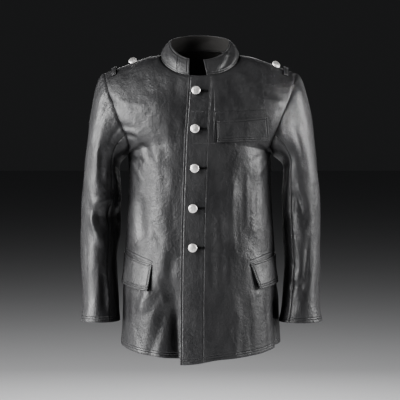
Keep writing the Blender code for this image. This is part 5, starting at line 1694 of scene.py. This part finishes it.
def noise(tree, vector, pattern):
    """A noise pattern by its name."""
    node = tree.nodes.new("ShaderNodeTexNoise")
    for name, number in zip(("Scale", "Detail", "Roughness", "Distortion"), PATTERNS[pattern]):
        node.inputs[name].default_value = number
    tree.links.new(vector, node.inputs["Vector"])
    return node.outputs["Fac"]


def cells(tree, vector, scale, softness):
    """Distance from the middles of soft, close-set cells."""
    node = tree.nodes.new("ShaderNodeTexVoronoi")
    node.feature = "SMOOTH_F1"
    node.inputs["Scale"].default_value = scale
    node.inputs["Smoothness"].default_value = softness
    tree.links.new(vector, node.inputs["Vector"])
    return node.outputs["Distance"]


def between(tree, value, *numbers):
    """A value moved smoothly from one range to another."""
    node = tree.nodes.new("ShaderNodeMapRange")
    node.interpolation_type = "SMOOTHSTEP"
    for name, number in zip(("From Min", "From Max", "To Min", "To Max"), numbers):
        node.inputs[name].default_value = number
    tree.links.new(value, node.inputs["Value"])
    return node.outputs["Result"]


def toned(colour, factor):
    """A colour made lighter or darker."""
    return [part * factor for part in colour]


def paint(tree, shader, factor, first, second):
    """Let a surface go from one colour to another with a pattern."""
    mix = tree.nodes.new("ShaderNodeMix")
    mix.data_type = "RGBA"
    mix.inputs["A"].default_value = (*first, 1.0)
    mix.inputs["B"].default_value = (*second, 1.0)
    tree.links.new(factor, mix.inputs["Factor"])
    tree.links.new(mix.outputs["Result"], shader.inputs["Base Color"])


def raise_surface(tree, shader, height, distance, invert=False):
    """Let a height pattern tilt the light on a surface."""
    bump = tree.nodes.new("ShaderNodeBump")
    bump.inputs["Strength"].default_value = 1.0
    bump.inputs["Distance"].default_value = distance
    bump.invert = invert
    tree.links.new(height, bump.inputs["Height"])
    tree.links.new(bump.outputs["Normal"], shader.inputs["Normal"])


def named_value(tree, name):
    """The piece's own distance from its seams, free edges or rows of stitches."""
    node = tree.nodes.new("ShaderNodeAttribute")
    node.attribute_name = name
    return node.outputs["Fac"]


def leather_skin_group():
    """Grain, fine creases, seam puckers and rubbed edges of leather."""
    name = "Leather skin"
    if name in bpy.data.node_groups:
        return bpy.data.node_groups[name]
    look = bpy.context.scene.jacket_leather
    tree = bpy.data.node_groups.new(name, "ShaderNodeTree")
    for label in ("Creases", "Roughness"):
        tree.interface.new_socket(label, in_out="INPUT", socket_type="NodeSocketFloat")
    for label in ("Worn", "Roughness", "Height"):
        tree.interface.new_socket(label, in_out="OUTPUT", socket_type="NodeSocketFloat")
    enter = tree.nodes.new("NodeGroupInput")
    leave = tree.nodes.new("NodeGroupOutput")
    place = object_place(tree)
    seam = named_value(tree, "seam")
    free = named_value(tree, "free")
    row = maths(tree, "ABSOLUTE", named_value(tree, "row_1"))
    for number in range(2, STITCH_FIELDS + 1):
        other = maths(tree, "ABSOLUTE", named_value(tree, "row_%d" % number))
        row = maths(tree, "MINIMUM", row, other)

    grain = cells(tree, place, 1.0 / look.grain_size, GRAIN_SOFTNESS)
    skin = plus(tree, times(tree, grain, look.grain_depth * GRAIN_SHARE),
                times(tree, noise(tree, place, "pores"), look.grain_depth * PORE_SHARE))
    folds = noise(tree, place, "folds")
    lines = maths(tree, "ABSOLUTE", maths(tree, "SUBTRACT", folds, 0.5))
    lines = between(tree, lines, *RANGES["line"])
    creases = plus(tree, times(tree, lines, look.crease_depth * LINE_SHARE),
                   times(tree, noise(tree, place, "soft creases"), look.crease_depth),
                   times(tree, noise(tree, place, "dimples"), look.dimple_depth))
    creases = times(tree, creases, enter.outputs["Creases"])
    puckers = times(tree, noise(tree, place, "puckers"), between(tree, seam, *RANGES["near seam"]))
    gathers = times(tree, noise(tree, place, "gathers"), between(tree, row, *RANGES["near row"]))
    puckers = plus(tree, times(tree, puckers, PUCKER_HEIGHT), times(tree, gathers, GATHER_HEIGHT))
    height = plus(tree, skin, creases, puckers, between(tree, row, *RANGES["groove"]))
    tree.links.new(height, leave.inputs["Height"])

    # Lighter where rubbed: random patches, free edges and beside seams; also lighter everywhere away
    # from the fine crease lines, which stay darker
    worn = plus(tree, between(tree, noise(tree, place, "patches"), *RANGES["rubbed patch"]),
                between(tree, free, *RANGES["rubbed edge"]),
                between(tree, seam, *RANGES["rubbed seam"]),
                between(tree, lines, *RANGES["rubbed ridge"]))
    tree.links.new(worn, leave.inputs["Worn"])

    hanging = tree.nodes.new("ShaderNodeMapping")
    hanging.inputs["Scale"].default_value = HANGING_STRETCH
    tree.links.new(place, hanging.inputs["Vector"])
    streaks = noise(tree, hanging.outputs["Vector"], "streaks")
    gloss = plus(tree, between(tree, streaks, *RANGES["gloss"]), times(tree, grain, GRAIN_GLOSS),
                 enter.outputs["Roughness"])
    tree.links.new(gloss, leave.inputs["Roughness"])
    return tree


def fill_leather(tree, shader, kind):
    """Soft black leather with a low sheen."""
    tone, duller, creases = LEATHER_KINDS[kind]
    look = bpy.context.scene.jacket_leather
    skin = tree.nodes.new("ShaderNodeGroup")
    skin.node_tree = leather_skin_group()
    skin.inputs["Creases"].default_value = creases
    skin.inputs["Roughness"].default_value = look.roughness + duller
    paint(tree, shader, skin.outputs["Worn"], toned(look.colour, tone),
          toned(look.worn_colour, tone))
    tree.links.new(skin.outputs["Roughness"], shader.inputs["Roughness"])
    raise_surface(tree, shader, skin.outputs["Height"], 1.0)


def fill_inside(tree, shader):
    """Flesh side of the leather, dark and without gloss."""
    colour = bpy.context.scene.jacket_leather.inside_colour
    nap = noise(tree, object_place(tree), "nap")
    paint(tree, shader, nap, *[toned(colour, tone) for tone in INSIDE_TONES])
    raise_surface(tree, shader, nap, NAP_HEIGHT)


def fill_thread(tree, shader):
    """Black sewing thread, slightly shiny."""
    colour = bpy.context.scene.jacket_stitches.colour
    strands = noise(tree, object_place(tree), "strands")
    paint(tree, shader, strands, *[toned(colour, tone) for tone in THREAD_TONES])


def fill_metal(tree, shader, kind):
    """Silver coloured metal: a bright rim or a pebbled face."""
    look = bpy.context.scene.jacket_buttons
    place = object_place(tree)
    smudges = noise(tree, place, "smudges")
    colour = toned(look.colour, METAL_KINDS[kind])
    paint(tree, shader, smudges, toned(colour, METAL_SHADE), colour)
    low, high, less, more = METAL_GLOSS
    rough = between(tree, smudges, low, high, look.roughness + less, look.roughness + more)
    tree.links.new(rough, shader.inputs["Roughness"])
    if kind == "pebbled":
        pebbles = cells(tree, place, PEBBLE_SCALE, PEBBLE_SOFTNESS)
        raise_surface(tree, shader, pebbles, PEBBLE_HEIGHT, invert=True)


def fill_slit_shade(tree, shader):
    """Near-black painted shade for the opening of a buttonhole."""
    rough = between(tree, noise(tree, object_place(tree), "fibres"), *RANGES["fibres"])
    tree.links.new(rough, shader.inputs["Roughness"])


def fill_floor(tree, shader):
    """Plain pale floor."""
    colour = bpy.context.scene.jacket_studio.floor_colour
    clouds = noise(tree, object_place(tree), "clouds")
    paint(tree, shader, clouds, toned(colour, FLOOR_SHADE), colour)


# What fills in each material, which values its shader holds, and its kind
MATERIALS = {
    "Black leather body": (fill_leather, "leather", "body"),
    "Black leather sleeve": (fill_leather, "leather", "sleeve"),
    "Black leather trim": (fill_leather, "leather", "trim"),
    "Leather inner face": (fill_inside, "inner face"),
    "Black thread": (fill_thread, "thread"),
    "Silver metal bright": (fill_metal, "metal", "bright"),
    "Silver metal pebbled": (fill_metal, "metal", "pebbled"),
    # The buttonhole's near-black slot is painted shade
    "Buttonhole slit shade": (fill_slit_shade, "slit"),
    "Pale floor": (fill_floor, "floor"),
}


def find_material(name):
    """A material by its name, made where it isn't there yet."""
    if name in bpy.data.materials:
        return bpy.data.materials[name]
    fill, finish, *kind = MATERIALS[name]
    material = bpy.data.materials.new(name)
    material.use_nodes = True
    tree = material.node_tree
    shader = tree.nodes["Principled BSDF"]
    for socket, value in FINISHES[finish].items():
        shader.inputs[socket].default_value = value
    fill(tree, shader, *kind)
    return material


# Buttons

BUTTON_PROFILE = (
    ("radius", "height"),
    (0.0, 0.98), (0.15, 0.977), (0.30, 0.966), (0.45, 0.948), (0.58, 0.922), (0.68, 0.892),
    (0.74, 0.858), (0.775, 0.832), (0.80, 0.826), (0.83, 0.842), (0.87, 0.848), (0.91, 0.830),
    (0.95, 0.77), (0.98, 0.68), (1.0, 0.56), (0.99, 0.47), (0.96, 0.40), (0.90, 0.365),
    (0.60, 0.335),
)
# Shares of the shank's radius and the button's height where the shank begins and is straight
SHANK_TOP = (1.2, 0.31)
SHANK_NECK = (1.0, 0.20)
PEBBLED_RADIUS = 0.76


def turned_button(name, node, seat, facing):
    """A domed button with a raised rim and a shank, turned about the way it faces."""
    look = bpy.context.scene.jacket_buttons
    profile = [(radius * BUTTON_RADIUS, height * BUTTON_HEIGHT)
               for radius, height in BUTTON_PROFILE[1:]]
    profile += [(radius * SHANK_RADIUS, height * BUTTON_HEIGHT)
                for radius, height in (SHANK_TOP, SHANK_NECK)]
    foot = BUTTON_GAP - SHANK_HEIGHT
    profile += [(SHANK_RADIUS, foot), (0.0, foot)]
    builder = bmesh.new()
    ring = [builder.verts.new((radius, 0.0, height)) for radius, height in profile]
    edges = [builder.edges.new((ring[i], ring[i + 1])) for i in range(len(ring) - 1)]
    bmesh.ops.spin(builder, geom=ring + edges, axis=(0, 0, 1), cent=(0, 0, 0), dvec=(0, 0, 0),
                   angle=2 * math.pi, steps=look.steps, use_merge=True, use_duplicate=False)
    bmesh.ops.remove_doubles(builder, verts=list(builder.verts), dist=1e-6)
    bmesh.ops.recalc_face_normals(builder, faces=list(builder.faces))
    for face in builder.faces:
        middle = face.calc_center_median()
        inner = math.hypot(middle.x, middle.y) < PEBBLED_RADIUS * BUTTON_RADIUS
        face.material_index = 1 if inner and middle.z > BUTTON_HEIGHT * 0.5 else 0
    facing = unit(np.asarray(facing, float))
    first = unit(np.cross(np.array([0.0, 0.0, 1.0]), facing))
    second = np.cross(facing, first)
    place = laid_at(seat + facing * SHANK_HEIGHT, first, second, facing)
    bmesh.ops.transform(builder, matrix=place, verts=list(builder.verts))
    piece = finish_piece(name, builder, ["Silver metal bright", "Silver metal pebbled"])
    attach(piece, "root")
    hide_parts(node)


# Studio

CAMERA_SENSOR = 36.0
FLOOR_SIZE = 40.0
STUDIO_LIGHTS = (
    ("name", "place", "aim", "width", "height", "power", "spread"),
    ("Large soft light", (-3.0, -1.45, 0.65), (-0.1, 0.0, -0.35), 1.9, 3.2, 420.0, 180.0),
    ("Right soft light", (2.95, -0.60, 0.5), (0.2, 0.0, -0.25), 1.2, 2.0, 155.0, 180.0),
    ("Arm light", (1.3, -2.1, 0.5), (0.285, -0.03, -0.14), 0.10, 0.26, 0.33, 6.0),
    ("Left rim light", (-2.3, 1.0, 0.1), (-0.2, 0.0, -0.35), 0.7, 2.0, 12.0, 180.0),
    ("Right rim light", (2.3, 1.3, 0.1), (0.2, 0.0, -0.35), 0.7, 2.0, 8.0, 180.0),
    ("Top light", (0.0, -0.5, 2.2), (0.0, 0.0, -0.1), 1.6, 1.0, 6.0, 180.0),
    ("Back soft light", (0.0, 2.9, 0.7), (0.0, 0.0, -0.35), 1.8, 1.8, 40.0, 180.0),
)


def make_floor(look):
    """Lay the floor."""
    builder = bmesh.new()
    bmesh.ops.create_grid(builder, x_segments=1, y_segments=1, size=FLOOR_SIZE,
                          matrix=Matrix.Translation((0.0, 0.0, look.floor_height)))
    floor = finish_piece("studio_floor", builder, ["Pale floor"])


def make_surround(scene, look):
    """Set the even light all round."""
    world = bpy.data.worlds.new("Soft surround")
    world.use_nodes = True
    surround = world.node_tree.nodes["Background"]
    surround.inputs["Color"].default_value = (*look.surround, 1.0)
    surround.inputs["Strength"].default_value = look.surround_strength
    scene.world = world


def place_facing(scene, name, data, place, aim):
    """Put a light or camera at its place, turned to what it aims at."""
    holder = bpy.data.objects.new(name, data)
    scene.collection.objects.link(holder)
    holder.location = place
    holder.rotation_euler = (Vector(aim) - holder.location).to_track_quat("-Z", "Y").to_euler()
    return holder


def make_light(scene, name, place, aim, width, height, power, spread):
    """Hang a soft rectangular light."""
    light = bpy.data.lights.new(name, "AREA")
    light.shape = "RECTANGLE"
    light.size = width
    light.size_y = height
    light.energy = power
    light.spread = math.radians(spread)
    place_facing(scene, name, light, place, aim)


def make_camera(scene, look):
    """Set up the camera and the tone of the picture."""
    camera = bpy.data.cameras.new("Camera")
    camera.sensor_width = CAMERA_SENSOR
    camera.lens = CAMERA_SENSOR * look.camera_distance / look.frame_width
    aim = Vector((0.0, 0.0, look.view_height))
    away = Vector((0.0, -math.cos(look.camera_rise), math.sin(look.camera_rise)))
    scene.camera = place_facing(scene, "Camera", camera, aim + look.camera_distance * away, aim)
    scene.view_settings.view_transform = "AgX"
    scene.view_settings.look = "AgX - Medium High Contrast"


# Operators, one for each piece or group of like pieces

class JACKET_OT_body(bpy.types.Operator):
    """Make the two fronts and the back"""
    bl_idname = "jacket.body"
    bl_label = "Fronts and back"

    def execute(self, context):
        dress_panels(BODY_PANELS)
        return {"FINISHED"}


class JACKET_OT_sleeves(bpy.types.Operator):
    """Make the two-piece sleeves"""
    bl_idname = "jacket.sleeves"
    bl_label = "Sleeves"

    def execute(self, context):
        dress_panels(SLEEVE_PANELS, "sleeve")
        return {"FINISHED"}


class JACKET_OT_collar(bpy.types.Operator):
    """Make the stand collar"""
    bl_idname = "jacket.collar"
    bl_label = "Collar"

    def execute(self, context):
        dress_panels(["collar"])
        return {"FINISHED"}


class JACKET_OT_flaps(bpy.types.Operator):
    """Make the chest flap and the two hip flaps"""
    bl_idname = "jacket.flaps"
    bl_label = "Pocket flaps"

    def execute(self, context):
        for name, front, *numbers in FLAPS[1:]:
            dress_strip(name, flap_grid(front, *numbers))
        return {"FINISHED"}


class JACKET_OT_shoulder_loops(bpy.types.Operator):
    """Make the short straps over the shoulder seams"""
    bl_idname = "jacket.shoulder_loops"
    bl_label = "Shoulder loops"

    def execute(self, context):
        for side, suffix in SIDES:
            dress_strip("shoulder_loop_" + suffix, loop_grid(side, suffix))
        return {"FINISHED"}


class JACKET_OT_stitching(bpy.types.Operator):
    """Sew the visible lines of stitching"""
    bl_idname = "jacket.stitching"
    bl_label = "Stitching"

    def execute(self, context):
        panels = {**garment(), **STRIPS}
        groups = (("body_stitches", BODY_PANELS), ("sleeve_stitches", SLEEVE_PANELS),
                  ("trim_stitches", ("collar", *STRIPS)))
        for piece_name, names in groups:
            builder = bmesh.new()
            for name in names:
                for border, distance, *shares in stitch_rows(name):
                    sew_line(builder, *panels[name].line(border, distance, *shares))
                sew_pockets(builder, panels[name])
            finish_sewn(piece_name, builder, "Black thread")
        return {"FINISHED"}


class JACKET_OT_buttonholes(bpy.types.Operator):
    """Sew the keyhole buttonholes that run from the front buttons"""
    bl_idname = "jacket.buttonholes"
    bl_label = "Buttonholes"

    def execute(self, context):
        panel = garment()["front_left"]
        threads, slit_shades = bmesh.new(), bmesh.new()
        for x, z in FRONT_BUTTONS[1:]:
            stitch_buttonhole(threads, panel, x + BUTTONHOLE_OFFSET, z)
            # Each buttonhole also gets a near-black slot of painted shade
            lay_slit_shade(slit_shades, panel, x + BUTTONHOLE_OFFSET, z)
        finish_sewn("buttonhole_stitches", threads, "Black thread")
        finish_sewn("buttonhole_slit_shades", slit_shades, "Buttonhole slit shade")
        return {"FINISHED"}


class JACKET_OT_buttons(bpy.types.Operator):
    """Make the metal buttons of the front and the shoulders"""
    bl_idname = "jacket.buttons"
    bl_label = "Buttons"

    def execute(self, context):
        for number, (x, z) in enumerate(FRONT_BUTTONS[1:], start=1):
            seat, facing = garment()["front_left"].seen_at(x, z)
            turned_button("metal_button_%d" % number, "button_%d" % number, seat, facing)
        for name, front, x, forward, lift, *facing in SHOULDER_BUTTONS[1:]:
            seat, normal = garment()[front].walk_down(x, forward)
            turned_button("metal_" + name, name, seat + normal * lift, facing)
        return {"FINISHED"}


class JACKET_OT_studio(bpy.types.Operator):
    """Make the floor, the soft lights and the camera"""
    bl_idname = "jacket.studio"
    bl_label = "Studio"

    def execute(self, context):
        look = context.scene.jacket_studio
        make_floor(look)
        make_surround(context.scene, look)
        for row in STUDIO_LIGHTS[1:]:
            make_light(context.scene, *row)
        make_camera(context.scene, look)
        return {"FINISHED"}


class JACKET_PT_panel(bpy.types.Panel):
    """Sizes, looks and steps of the jacket"""
    bl_label = "Leather uniform jacket"
    bl_idname = "JACKET_PT_panel"
    bl_space_type = "VIEW_3D"
    bl_region_type = "UI"
    bl_category = "Jacket"

    def draw(self, context):
        layout = self.layout
        for name, label, holder in PROPERTIES:
            box = layout.box()
            box.label(text=label)
            for field in holder.__annotations__:
                box.prop(getattr(context.scene, name), field)
        for operator in OPERATORS:
            layout.operator(operator.bl_idname)


PROPERTIES = (
    ("jacket_cloth", "Cloth", ClothSizes),
    ("jacket_leather", "Leather", LeatherLook),
    ("jacket_stitches", "Stitches", StitchSizes),
    ("jacket_buttons", "Buttons", ButtonLook),
    ("jacket_studio", "Studio", StudioLook),
)
OPERATORS = (
    JACKET_OT_body,
    JACKET_OT_sleeves,
    JACKET_OT_collar,
    JACKET_OT_flaps,
    JACKET_OT_shoulder_loops,
    JACKET_OT_stitching,
    JACKET_OT_buttonholes,
    JACKET_OT_buttons,
    JACKET_OT_studio,
)


def register():
    """Add the properties, operators and panel."""
    for name, _label, holder in PROPERTIES:
        bpy.utils.register_class(holder)
        setattr(bpy.types.Scene, name, PointerProperty(type=holder))
    for operator in OPERATORS:
        bpy.utils.register_class(operator)
    bpy.utils.register_class(JACKET_PT_panel)


def unregister():
    """Take the properties, operators and panel away."""
    bpy.utils.unregister_class(JACKET_PT_panel)
    for operator in reversed(OPERATORS):
        bpy.utils.unregister_class(operator)
    for name, _label, holder in reversed(PROPERTIES):
        delattr(bpy.types.Scene, name)
        bpy.utils.unregister_class(holder)


def main():
    """Build every piece in order."""
    register()
    bpy.ops.jacket.body()
    bpy.ops.jacket.sleeves()
    bpy.ops.jacket.collar()
    bpy.ops.jacket.flaps()
    bpy.ops.jacket.shoulder_loops()
    bpy.ops.jacket.stitching()
    bpy.ops.jacket.buttonholes()
    bpy.ops.jacket.buttons()
    bpy.ops.jacket.studio()


if __name__ == "__main__":
    main()
